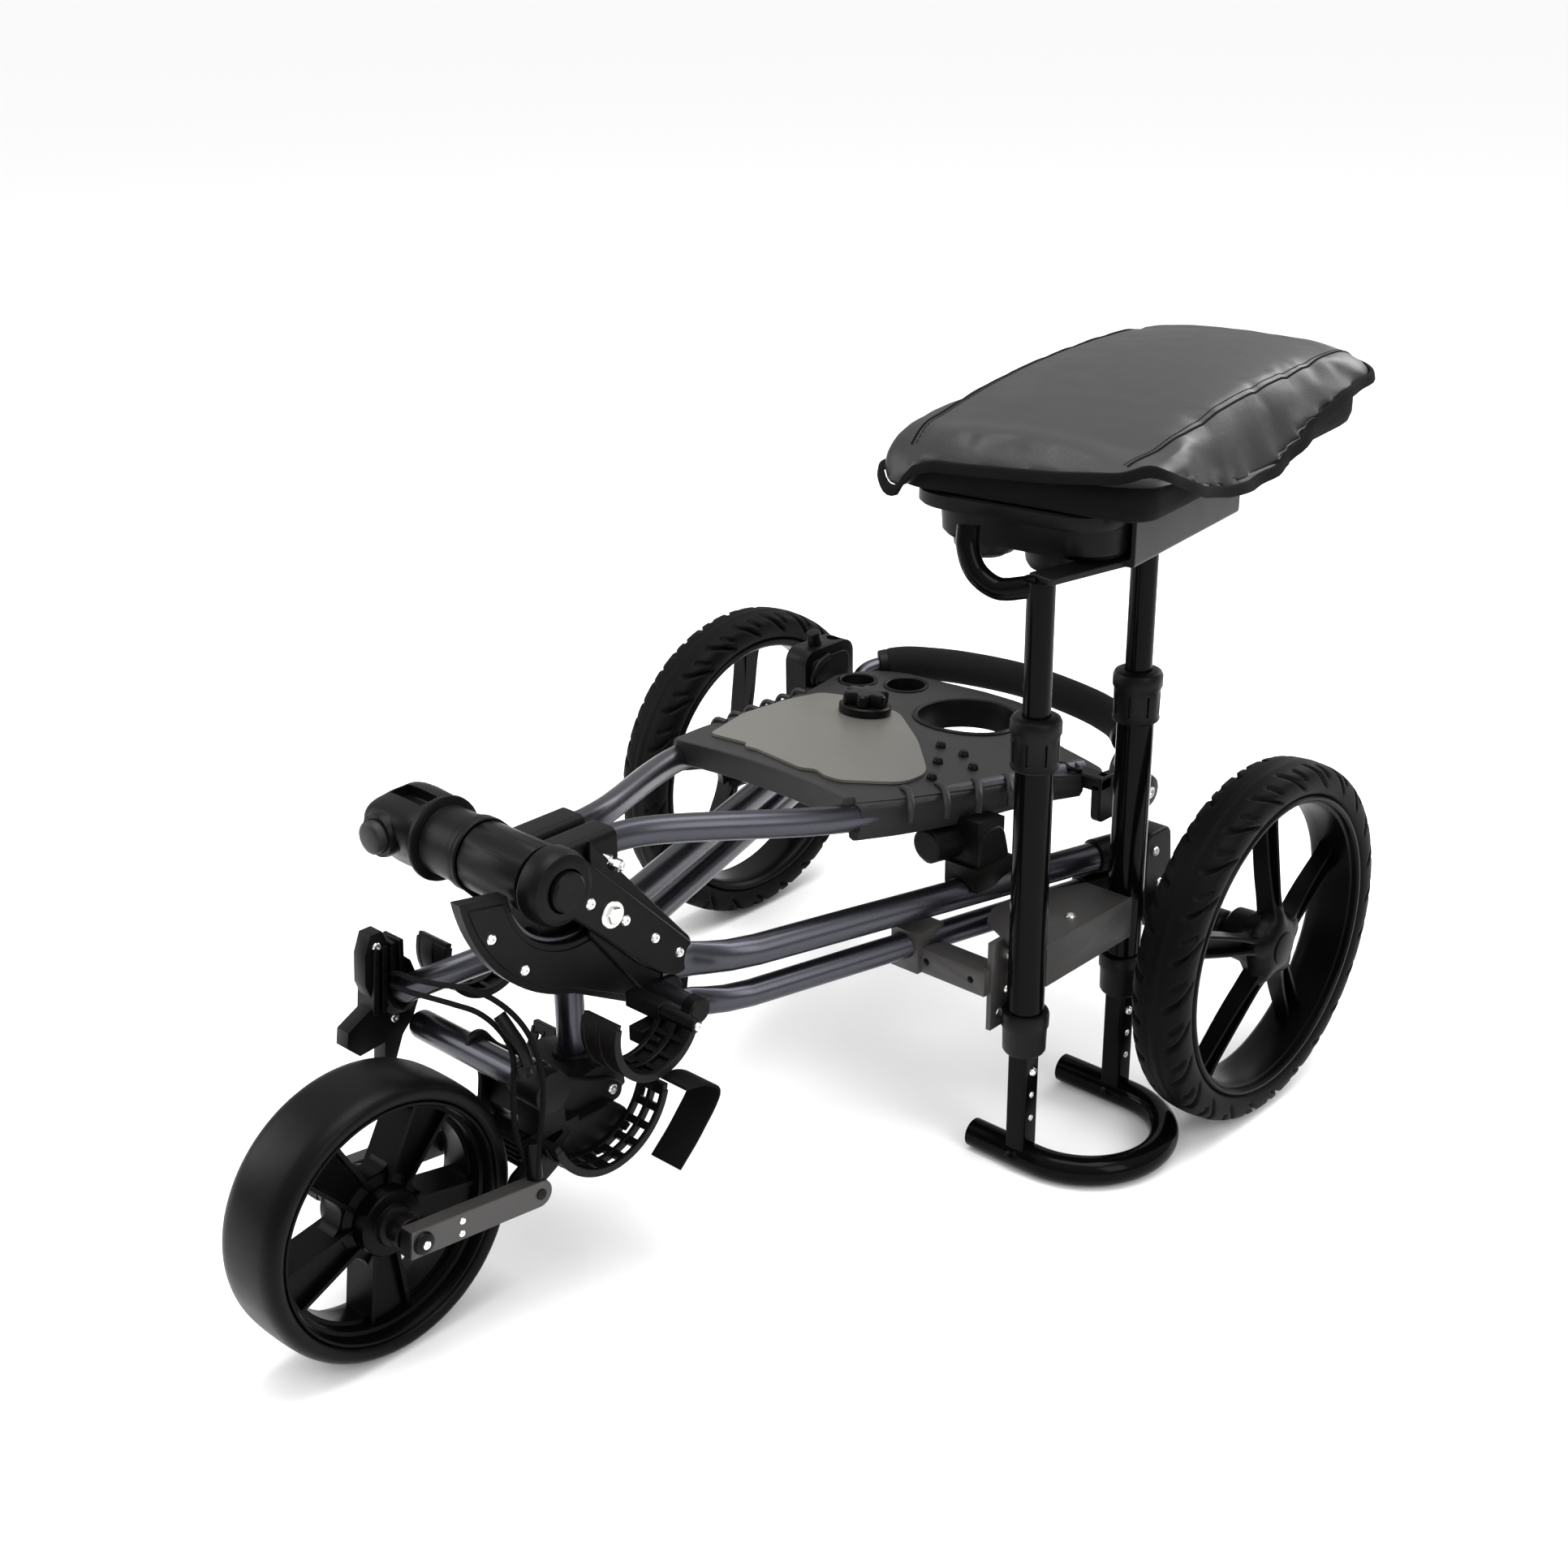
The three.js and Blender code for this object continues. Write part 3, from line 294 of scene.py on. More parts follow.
def rod(start, end, radius, sides=40):
    axis = Vector(end) - Vector(start)
    up = (0, 0, 1) if abs(axis.normalized().z) < 0.9 else (0, 1, 0)
    return tube([start, end], radius, sides, up=up, straight=True)


def revolve(profile, start, axis, segments=96, closed=False):
    """Turns [(radius, along)] about the axis through start."""
    start, axis = Vector(start), Vector(axis).normalized()
    side = axis.orthogonal().normalized()
    other = axis.cross(side)
    shape = bmesh.new()
    rings = []
    for radius, along in profile:
        centre = start + axis * along
        if radius < 1e-6:
            rings.append([shape.verts.new(centre)])
            continue
        turns = [2 * math.pi * i / segments for i in range(segments)]
        ring = [centre + (side * math.cos(t) + other * math.sin(t)) * radius for t in turns]
        rings.append([shape.verts.new(point) for point in ring])
    pairs = list(zip(rings, rings[1:] + rings[:1] if closed else rings[1:]))
    for first, second in pairs:
        for i in range(segments):
            j = (i + 1) % segments
            quad = [
                first[i % len(first)], first[j % len(first)], second[j % len(second)],
                second[i % len(second)],
            ]
            corners = list(dict.fromkeys(quad))
            if len(corners) > 2:
                shape.faces.new(corners)
    return shape


def mirrored(half):
    """A (radius, along) profile and its reflection, as one profile."""
    return half + [(radius, -along) for radius, along in reversed(half)]


def slab(outline, low, high, plane="YZ"):
    """A flat outline of points pushed from low to high across its plane."""
    spots = {
        "YZ": lambda p, h: (h, p[0], p[1]),
        "XZ": lambda p, h: (p[0], h, p[1]),
        "XY": lambda p, h: (p[0], p[1], h),
    }[plane]
    return rings_to_shape([[spots(p, low) for p in outline], [spots(p, high) for p in outline]])


def block(low, high):
    (x0, y0, z0), (x1, y1, z1) = low, high
    return slab([(x0, y0), (x1, y0), (x1, y1), (x0, y1)], z0, z1, "XY")


def side_slab(outline, sign, near, far):
    """A y, z outline pushed across x between two distances from the middle, on one side."""
    return slab(outline, *sorted((sign * near, sign * far)))


def side_block(sign, near, far, low, high):
    """A block between two distances from the middle, on one side; low and high are its y, z corners."""
    x0, x1 = sorted((sign * near, sign * far))
    return block((x0, *low), (x1, *high))


def rounded(outline, radius, steps=5):
    """The outline with each corner eased; radius is one number or one per corner."""
    count = len(outline)
    radii = radius if isinstance(radius, (list, tuple)) else [radius] * count
    eased = []
    for i, corner in enumerate(outline):
        here = Vector(corner)
        before, after = Vector(outline[i - 1]) - here, Vector(outline[(i + 1) % count]) - here
        reach = min(radii[i], before.length * 0.48, after.length * 0.48)
        if reach < 0.05:
            eased.append(tuple(here))
            continue
        a, b = here + before.normalized() * reach, here + after.normalized() * reach
        for step in range(steps + 1):
            t = step / steps
            eased.append(tuple(a * (1 - t) ** 2 + here * 2 * t * (1 - t) + b * t**2))
    return eased


def arc(centre, radius, start, stop, steps=16):
    """Points of an arc, angles in degrees from the first axis towards the second."""
    turns = [math.radians(start + (stop - start) * i / steps) for i in range(steps + 1)]
    return [(centre[0] + radius * math.cos(t), centre[1] + radius * math.sin(t)) for t in turns]


def cad_copy(node):
    """A CAD node's own shape in design millimetres, welded and with flat faces made whole."""
    shape = bmesh.new()
    shape.from_mesh(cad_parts[node].data)
    shape.transform(TO_ROW.inverted())
    bmesh.ops.remove_doubles(shape, verts=shape.verts, dist=0.01)
    bmesh.ops.dissolve_limit(shape, angle_limit=math.radians(1), verts=shape.verts, edges=shape.edges)
    return shape


def screw(point, normal, radius=3.2, height=2.2):
    """A round head with a round socket sunk in its top."""
    sunk = 0.35 * height
    profile = [
        (0, sunk), (0.44 * radius, sunk), (0.46 * radius, 0.97 * height), (0.75 * radius, height),
        (0.95 * radius, 0.6 * height), (radius, 0.1), (radius, -1), (0, -1),
    ]
    return revolve(profile, point, normal, 24)


def hex_head(point, normal, radius=5, height=4):
    profile = [(0, height), (0.86 * radius, height), (radius, 0.8 * height), (radius, -1), (0, -1)]
    return revolve(profile, point, normal, 6)


# ---- Wheels -------------------------------------------------------------------------------------------
def rear_tyre(side, sign):
    """A chunky tyre: curved slots cross each shoulder and fine lines run round the crown."""
    half = [
        (19, 121.3), (21.4, 123.5), (22.9, 128.5), (22.6, 134), (20.6, 139.3), (16, 142.7), (9, 144.4),
        (0, 145),
    ]
    flank = [(p.x, p.y) for p in smooth_path([(x, r, 0) for x, r in half], 4)]
    section = flank + [(-x, r) for x, r in reversed(flank[:-1])]
    pitches, steps_each = 25, 28
    steps = pitches * steps_each
    crown = len(flank) - 1
    reach = [0.0] * len(section)
    for i in range(crown + 1, len(section)):
        reach[i] = reach[i - 1] + math.dist(section[i], section[i - 1])
    for i in range(crown - 1, -1, -1):
        reach[i] = reach[i + 1] - math.dist(section[i], section[i + 1])

    def groove(turn, away):
        """Depth of the tread's cuts at an angle and a distance from the crown."""
        side_of, far = (1 if away > 0 else -1), abs(away)
        depth = 1.1 * math.exp(-(((far - 4.2) / 0.8) ** 2)) + 1.1 * math.exp(-(((far - 8.2) / 0.8) ** 2))
        if far < 9.5 or far > 34:
            return depth
        fade = min((far - 9.5) / 2.5, (34 - far) / 3, 1)
        pitch = 2 * math.pi / pitches
        bend = 0.13 * ((far - 9.5) / 20) ** 1.6
        for offset, strength, low, high in ((0.0, 3.1, 9.5, 34), (0.45, 2.2, 13, 25)):
            if not low <= far <= high:
                continue
            stagger = 0.5 * pitch if side_of < 0 else 0
            place_at = turn + bend * (1 if offset == 0 else 0.7) + stagger + offset * pitch
            distance = ((place_at + pitch / 2) % pitch - pitch / 2) * 142
            depth = max(depth, strength * fade * math.exp(-((distance / 2.3) ** 4)))
        return depth

    rings = []
    for step in range(steps):
        turn = 2 * math.pi * step / steps
        ring = []
        for i, (x, r) in enumerate(section):
            ahead, behind = section[min(i + 1, len(section) - 1)], section[max(i - 1, 0)]
            slope = Vector((behind[1] - ahead[1], ahead[0] - behind[0])).normalized()
            outward = slope if slope.y >= 0 or abs(slope.x) > 0.5 else -slope
            if outward.dot(Vector((x, r - 131))) < 0:
                outward = -outward
            depth = groove(turn, reach[i])
            across, radius = x - outward.x * depth, r - outward.y * depth
            ring.append((across * sign, radius * math.cos(turn), radius * math.sin(turn)))
        rings.append(ring)
    shape = rings_to_shape(rings, closed_along=True)
    shape.transform(Matrix.Translation((sign * REAR_HALF_TRACK, *REAR_AXLE)))
    stand_in("rear_tyre", shape, TREAD, f"rear_wheel_{side}", side, crease=50)


def spoke_ribs():
    """One spoke along +Y: an arm off the hub that parts into two thin ribs, which flare to the barrel."""
    ribs = []
    for side in (-1, 1):
        rings = []
        for step in range(23):
            t = step / 22
            r = 20 + 94.5 * t
            part = min(max((t - 0.12) / 0.88, 0), 1)
            middle = side * (4.2 + 3.6 * math.sin(math.pi * min(part * 1.15, 1)) * 0.6 + 5.5 * part**3)
            thick = 1.9 + 2.6 * max(1 - t / 0.22, 0) + 1.2 * part**6
            front = 21 - 17.5 * t**0.7
            back = front - 16 + 4 * t
            section = [
                (middle - thick, back), (middle - thick * 0.8, front - 0.9), (middle, front),
                (middle + thick * 0.8, front - 0.9), (middle + thick, back),
            ]
            rings.append([(x, r, a) for a, x in section])
        ribs.append(rings_to_shape(rings))
    floor = []
    for step in range(12):
        t = step / 11
        r = 18 + 96 * t
        half = 8.5 - 4.5 * min(t * 4, 1) + 4 * t**3
        depth = 21 - 17.5 * t**0.7 - (1.5 + 9 * min(t * 5, 1))
        floor.append([(depth - 3, r, -half), (depth, r, -half), (depth, r, half), (depth - 3, r, half)])
    ribs.append(rings_to_shape(floor))
    return merged(*ribs)


def rear_rim(side, sign):
    """A deep barrel, five split spokes and a star-shaped hub with a plain cap."""
    barrel = [
        (121, 20.2), (119.6, 21.8), (117.6, 21.8), (116.2, 20.2), (115.8, 16.5), (113.6, 15.6), (112.6, 6),
        (112.2, -8), (113.4, -17), (115.6, -20.2), (117.6, -21.6), (120, -21.6), (121, -20.2),
    ]
    pieces = [revolve(barrel, (0, 0, 0), (1, 0, 0), 128, closed=True)]
    hub = []
    for x, radius, star in (
        (23.8, 13, 0), (22.6, 17, 0.05), (20.4, 21.5, 0.28), (16.5, 25, 0.34), (8, 27, 0.32), (-4, 22, 0),
    ):
        turns = [2 * math.pi * i / 100 for i in range(100)]
        reach = [radius * (1 + star * (0.5 + 0.5 * math.cos(5 * turn)) ** 2) for turn in turns]
        hub.append([(x, r * math.cos(turn), r * math.sin(turn)) for r, turn in zip(reach, turns)])
    pieces.append(rings_to_shape(hub))
    boss = [(0, -22), (18, -22), (20, -20), (21, -2), (0, -2)]
    cap = [(0, 25.4), (11, 25.4), (13, 24.6), (13.4, 22), (0, 22)]
    pieces += [revolve(profile, (0, 0, 0), (1, 0, 0), 64) for profile in (boss, cap)]
    for spoke in range(5):
        pieces.append(moved(spoke_ribs(), Matrix.Rotation(spoke * 2 * math.pi / 5, 4, "X")))
    shape = merged(*pieces)
    shape.transform(Matrix.Rotation(math.pi / 2, 4, "X"))
    if sign < 0:
        shape.transform(Matrix.Scale(-1, 4, (1, 0, 0)))
    shape.transform(Matrix.Translation((sign * REAR_HALF_TRACK, *REAR_AXLE)))
    stand_in("rear_rim", shape, RIM, f"rear_wheel_{side}", side, crease=32)


def front_wheel():
    centre = (0, *FRONT_AXLE)
    flank = [
        (86.2, 25.6), (87.4, 27.6), (91, 28.9), (94.4, 28.2), (97, 25.6), (98.9, 20.6), (99.7, 13), (100, 4),
    ]
    smooth = [(p.x, p.y) for p in smooth_path([(r, x, 0) for r, x in flank], 4)]
    tyre = revolve(mirrored(smooth), centre, (1, 0, 0), 160, closed=True)
    stand_in("front_tyre", tyre, SMOOTH_RUBBER, "front_wheel", crease=50)

    half = [(86, 24.6), (85, 26.4), (83.2, 26.4), (82.2, 24.8), (81.2, 18), (78.6, 17), (77.8, 11)]
    barrel = revolve(mirrored(half), (0, 0, 0), (1, 0, 0), 128, closed=True)
    plate = [(0, 8.5), (77, 8.5), (80, 10), (80, -10), (77, -8.5), (0, -8.5)]
    disc = revolve(plate, (0, 0, 0), (1, 0, 0), 120)
    windows = []
    for spoke in range(5):
        outline = [
            (31, -8), (50, -24), (67, -33), (73, -18), (75.5, 0), (73, 18), (67, 33), (50, 24), (31, 8),
        ]
        window = slab(rounded(outline, [6, 10, 7, 12, 12, 12, 7, 10, 6]), -30, 30)
        windows.append(moved(window, Matrix.Rotation(spoke * 2 * math.pi / 5 + 0.3, 4, "X")))
    web = boolean(disc, windows)
    hub = mirrored([(0, 26), (14, 26), (15, 24.8), (22.5, 24.2), (23.6, 23), (24, 12), (30, 9.4)])
    ribs = []
    for spoke in range(5):
        turn = Matrix.Rotation(spoke * 2 * math.pi / 5 + 0.3 + math.pi / 5, 4, "X")
        for sign in (-1, 1):
            outline = [(22, sign * 7), (79, sign * 14), (79, sign * 17), (22, sign * 10)]
            ribs.append(moved(slab(outline, -14, 14), turn))
    rim = merged(barrel, web, revolve(hub, (0, 0, 0), (1, 0, 0), 64), *ribs)
    rim.transform(Matrix.Translation(centre))
    stand_in("front_rim", rim, RIM, "front_wheel", crease=32)


# ---- Front fork ---------------------------------------------------------------------------------------
def fork():
    (axle_y, axle_z), (pivot_y, pivot_z) = FRONT_AXLE, FORK_PIVOT
    lean = math.atan2(pivot_z - axle_z, pivot_y - axle_y)
    for side, sign in SIDES.items():
        length = math.hypot(pivot_y - axle_y, pivot_z - axle_z)
        outline = [(-9, -10), (length, -10), *arc((length, 0), 10, -80, 80, 12), (length, 10), (-9, 10)]
        place_here = Matrix.Translation((0, axle_y, axle_z)) @ Matrix.Rotation(lean, 4, "X")
        arm = moved(side_slab(outline, sign, 44, 56), place_here)
        stand_in("fork_arm", arm, PAINTED, "fork", side, bevel=0.9)
        plug = moved(side_block(sign, 44.8, 55.2, (-10.2, -9.2), (-4, 9.2)), place_here)
        place(f"fork_plug_{side}", plug, PLASTIC, "fork", bevel=0.6)
        heads = [screw((sign * 56, 32, z), (sign, 0, 0), 2.6, 1.2) for z in (4.6, -4.6)]
        place(f"fork_screws_{side}", moved(merged(*heads), place_here), ZINC, "fork")
    half = [(0, 60), (4.6, 60), (7.4, 58.6), (8, 56.3), (6, 56.2), (6, 43.4), (11.2, 43.4), (12, 42.4)]
    half += [(12, 36), (10.4, 34.6), (10.4, 30), (13.6, 28.8), (14.6, 26.2)]
    axle = revolve(mirrored(half), (0, *FRONT_AXLE), (1, 0, 0), 48)
    stand_in("front_axle", axle, PLASTIC, "fork", crease=30)
    caps = merged(*[screw((s * 59.6, axle_y, axle_z), (s, 0, 0), 3.2, 1.2) for s in (-1, 1)])
    place("front_axle_screws", caps, ZINC, "fork")


# ---- Lower frame --------------------------------------------------------------------------------------
def lower_frame():
    body = cad_copy("lower_knuckle")
    stand_in("lower_knuckle", body, PLASTIC, "chassis", bevel=2.2)
    cheek = rounded(
        [
            (-536, 160), (-531, 171), (-519, 171), (-505, 151), (-482, 139), (-462, 132), (-449, 122),
            (-453, 111), (-484, 112), (-510, 110), (-520, 92), (-529, 100), (-524, 140),
        ],
        [6, 6, 6, 10, 8, 8, 7, 7, 8, 10, 6, 6, 10],
    )
    for side, sign in SIDES.items():
        place(f"knuckle_cheek_{side}", side_slab(cheek, sign, 29, 35), PLASTIC, "chassis", bevel=1.8)
        heads = [screw((sign * 35, y, z), (sign, 0, 0), 4.2, 1.8) for y, z in ((-515, 145), (-461, 122))]
        place(f"knuckle_screws_{side}", merged(*heads), ZINC, "chassis")
    stand_in("down_tube", rod((0, -466, 129), (0, -466, 203), 10.5), ANODISED, "chassis")
    ferrule = [(11, 133), (14.5, 133), (14.5, 141), (13, 144), (11, 144)]
    collar = revolve(ferrule, (0, -466, 0), (0, 0, 1), 48, True)
    place("down_tube_collar", collar, PLASTIC, "chassis", crease=30)
    bar = [(0, -96), (6, -95.8), (9.4, -94.2), (10.7, -91.6), (11, -88), (11, 44), (0, 44)]
    cross = revolve(bar, (0, -527, 155), (1, 0, 0), 48)
    stand_in("front_cross_bar", cross, ANODISED, "chassis", crease=50)
    layers = [block((-21, -538, 88 + i * 4.4), (21, -522.5, 90.4 + i * 4.4)) for i in range(5)]
    bumper = merged(block((-20, -536, 88), (20, -522.5, 109)), *layers)
    stand_in("rubber_bumper", bumper, SMOOTH_RUBBER, "chassis", bevel=0.7)


def curved_grille(centre, inner, outer, start, stop, low, high, bars=9, backed=False):
    """A cupped grille: rails along its edges and middle, with bars across, over a solid back if backed."""
    rails = []
    width = high - low
    if backed:
        back = arc(centre, outer - 0.4, start, stop, 28) + arc(centre, outer - 2.4, stop, start, 28)
        rails.append(slab(back, low + 0.5, high - 0.5))
    for a, b in ((0, 0.13), (0.435, 0.565), (0.87, 1)):
        ring = arc(centre, outer, start, stop, 28) + arc(centre, inner, stop, start, 28)
        rails.append(slab(ring, low + a * width, low + b * width))
    for i in range(bars + 1):
        turn = start + (stop - start) * i / bars
        wide = 3.2 if 0 < i < bars else 5
        bar = arc(centre, outer - 0.6, turn - wide, turn + wide, 4)
        bar += arc(centre, inner + 0.6, turn + wide, turn - wide, 4)
        rails.append(slab(bar, low + 0.03 * width, high - 0.03 * width))
    for i in range(0, bars, 2):
        turn = start + (stop - start) * (i + 0.5) / bars
        pad = arc(centre, inner + 0.2, turn - 4, turn + 4, 4)
        pad += arc(centre, inner - 1.6, turn + 3, turn - 3, 4)
        rails.append(slab(pad, low + 0.16 * width, low + 0.4 * width))
    return merged(*rails)


def cradles():
    for side, sign in SIDES.items():
        low, high = sorted((sign * 43.4, sign * 70))
        lower = curved_grille((-492, 140), 49, 55, 200, 345, low, high)
        stand_in("lower_cradle", lower, PLASTIC, "chassis", side, bevel=0.8)
        arm = rounded([(-520, 104), (-500, 118), (-466, 118), (-452, 104), (-474, 87), (-510, 87)], 8)
        place(f"lower_cradle_arm_{side}", side_slab(arm, sign, 33, 44), PLASTIC, "chassis", bevel=1.5)
        low, high = sorted((sign * 70, sign * 104))
        upper = curved_grille((-478, 206), 34, 40, 162, 338, low, high, bars=8, backed=True)
        stand_in("bag_saddle", upper, PLASTIC, "chassis", side, bevel=0.8)
        hinge = merged(
            side_block(sign, 40.4, 74, (-450, 186), (-438, 198)),
            rod((sign * 60, -444, 192), (sign * 106, -444, 192), 5),
            side_block(sign, 56, 70, (-462, 170), (-438, 182)),
        )
        place(f"bag_saddle_arm_{side}", hinge, PLASTIC, "chassis", bevel=1.2)
        head = screw((sign * 106, -444, 192), (sign, 0, 0), 3.4, 1.6)
        place(f"bag_saddle_screw_{side}", head, ZINC, "chassis")

    rest = cad_copy("bag_rest")
    stand_in("bag_rest", rest, PLASTIC, "chassis", bevel=1.6)
    ribs = []
    for i in range(4):
        foot, top = -566 + i * 8, -560 + i * 7
        rib = rounded([(foot, 176), (foot + 4, 176), (top + 4, 226), (top, 226)], 1.5)
        ribs.append(slab(rib, -113, -93))
    place("bag_rest_ribs", merged(*ribs), PLASTIC, "chassis", bevel=0.8)
    heads = [
        screw((x, y, z), (way, 0, 0), 3.6, 1.8)
        for x, way in ((-97, 1), (-110, -1)) for y, z in ((-556, 226), (-546, 166))
    ]
    place("bag_rest_screws", merged(*heads), ZINC, "chassis")
    bar = tube([(-104, -541.5, 180.5), (7.6, -501.8, 246.4)], 10, 40, straight=True)
    stand_in("bag_rest_tube", bar, ANODISED, "chassis")

    bend = [(-470, 160), (-448, 154), (-438, 144), (-456, 120), (-478, 100)]
    strap_path = smooth_path([(105.7, y, z) for y, z in bend], 8)
    strap = sweep(strap_path, lambda t: [(-14, -1.1), (14, -1.1), (14, 1.1), (-14, 1.1)], up=(0, 1, 0))
    stand_in("cradle_strap", strap, WEBBING, "chassis", bevel=0.4)


# ---- Main joint ---------------------------------------------------------------------------------------
def main_joint():
    y, z = FOLD_AXIS
    ring = arc((-454, 329), 126, 189.6, 255, 24)
    saddle = arc((y, z), 27, -30, -180, 28)
    outline = ring + [(-412, 166), (-400, 163), (-386, 168), (-378, 182), (-377, 206)] + saddle
    recess = (-480, 305)
    beside_crescent = block((-31, -600, 180), (20, -502, 420))
    dish = rod((16, *recess), (40, *recess), 59, 96)
    housing = boolean(slab(outline, -30, 30), [beside_crescent, dish])
    stand_in("main_housing", housing, PLASTIC, "chassis", bevel=1.8)
    liner = slab(arc(recess, 58.8, 196, 285, 40) + arc(recess, 55.5, 285, 196, 40), 20, 25)
    place("joint_liner", liner, ANODISED, "chassis", bevel=0.8)
    facing = arc((-454, 329), 121, 193, 252, 24) + [(-410, 172), (-394, 178), (-392, 200)]
    facing += arc(recess, 63, -58, -172, 30)
    place("housing_facing", slab(facing, 29.6, 31.2), PLASTIC, "chassis", bevel=0.8)
    for side, sign in SIDES.items():
        if sign > 0:
            plate = [(-470, 318), (-474, 248), (-430, 190), (-404, 158), *arc((-398, 160), 13, 260, 360, 10)]
        else:
            plate = arc((y, z), 27, 49, 229, 28) + arc((-398, 160), 13, 229, 360, 12)
        plate += arc((-394, 204), 16, 0, 49, 10)
        outer = side_slab(plate, sign, 30.3, 35)
        stand_in("side_plate", outer, PLASTIC, "chassis", side, bevel=1.6)
        raised = arc((y, z), 27, 49, 291, 40) + [(-474, 252), (-454, 233), (-433, 212), (-416, 198)]
        raised += arc((-396, 204), 14, -110, 49, 14)
        place(f"side_plate_arm_{side}", side_slab(raised, sign, 33, 41), PLASTIC, "chassis", bevel=2.2)
        toe = arc((-405, 178), 13, 0, 360, 32)[:-1]
        place(f"side_plate_toe_{side}", side_slab(toe, sign, 33, 39), PLASTIC, "chassis", bevel=2)
        heads = [
            screw((sign * 41, -478, 276), (sign, 0, 0), 4.4, 2),
            hex_head((sign * 41, -459, 261), (sign, 0, 0), 6.8, 4.6),
            screw((sign * 41, -447, 252), (sign, 0, 0), 4.2, 2),
            *[screw((sign * 41, *spot), (sign, 0, 0), 4, 2) for spot in ((-420, 228), (-397, 208))],
        ]
        if sign > 0:
            heads += [screw((31.2, *spot), (1, 0, 0), 4, 1.8) for spot in ((-556, 276), (-530, 243))]
        place(f"side_plate_screws_{side}", merged(*heads), ZINC, "chassis")
        disc = [(0, 43), (9.4, 43), (10, 42.2), (10, 40), (0, 40)]
        washer = revolve(disc, (0, -459, 261), (sign, 0, 0), 40)
        place(f"side_plate_washer_{side}", washer, ZINC, "chassis", crease=30)

    boss = [
        (20, 38), (27, 38), (27, 44), (26, 48), (24.4, 50.6), (21.5, 51.6), (19, 52.4), (15.6, 52.4),
        (15, 50), (14.6, 38),
    ]
    right = revolve(boss, (0, y, z), (1, 0, 0), 72, closed=True)
    place("joint_boss_right", right, PLASTIC, "chassis", crease=30)
    barrel = [
        (9, 30.3), (25.2, 30.3), (25.4, 38), (25.2, 46), (24.8, 56), (24.6, 66), (25.2, 69.6), (9, 69.6),
    ]
    left = revolve(barrel, (0, y, z), (-1, 0, 0), 72, closed=True)
    place("joint_boss_left", left, PLASTIC, "chassis", crease=30)
    pin = [
        (0, -66), (8, -66), (8, 50.4), (13.6, 50.4), (14, 51.4), (14, 55.4), (12.4, 57), (4, 57.4),
        (0, 56.8),
    ]
    pivot = revolve(pin, (0, y, z), (1, 0, 0), 48)
    stand_in("pivot_pin", pivot, PLASTIC, "chassis", crease=30)

    cross = [(0, -52), (8.4, -52), (9, -51.4), (9, 71), (0, 71)]
    cross_pin = revolve(cross, (0, -415, 182), (1, 0, 0), 48)
    stand_in("cross_pin", cross_pin, ANODISED, "chassis", crease=40)
    end = revolve([(0, 80), (8.4, 80), (10, 78.6), (10, 70), (0, 70)], (0, -415, 182), (1, 0, 0), 48)
    place("cross_pin_cap", end, PLASTIC, "chassis", crease=30)


def fold_yoke():
    y, z = FOLD_AXIS
    barrel = [(9, -29.6), (24.6, -29.6), (25, -29), (25, 29), (24.6, 29.6), (9, 29.6)]
    parts = [revolve(barrel, (0, y, z), (1, 0, 0), 72, True)]
    for sign in (-1, 1):
        middle = sign * 15.8
        left, right = middle - 13.6, middle + 13.6
        outer = rounded([(left, 288.6), (right, 288.6), (right, 315.6), (left, 315.6)], 7.5, 8)
        sleeve = slab(outer, -500, -440, "XZ")
        parts.append(boolean(sleeve, [rod((middle, -470, 302), (middle, -430, 302), 10.6)]))
    parts.append(block((-6, -500, 292), (6, -442, 309)))
    stand_in("joint_yoke", merged(*parts), PLASTIC, "handle_frame", bevel=0.8)
    web = slab(rounded([(-486, 288), (-440, 291), (-438, 296), (-470, 300), (-490, 300)], 3), -24, 24)
    place("joint_yoke_web", web, PLASTIC, "handle_frame", bevel=1.5)
    stud = [(0, 15), (2.6, 15), (3.2, 14.2), (3.2, -1), (0, -1)]
    bolt = merged(
        hex_head((29, -453, 296), (1, 0.5, -0.3), 5.6, 4.6),
        revolve(stud, (29, -453, 296), (1, 0.5, -0.3), 24),
        hex_head((37, -449, 293.6), (1, 0.5, -0.3), 4.8, 3.6),
    )
    place("joint_yoke_bolt", bolt, ZINC, "handle_frame", crease=30)


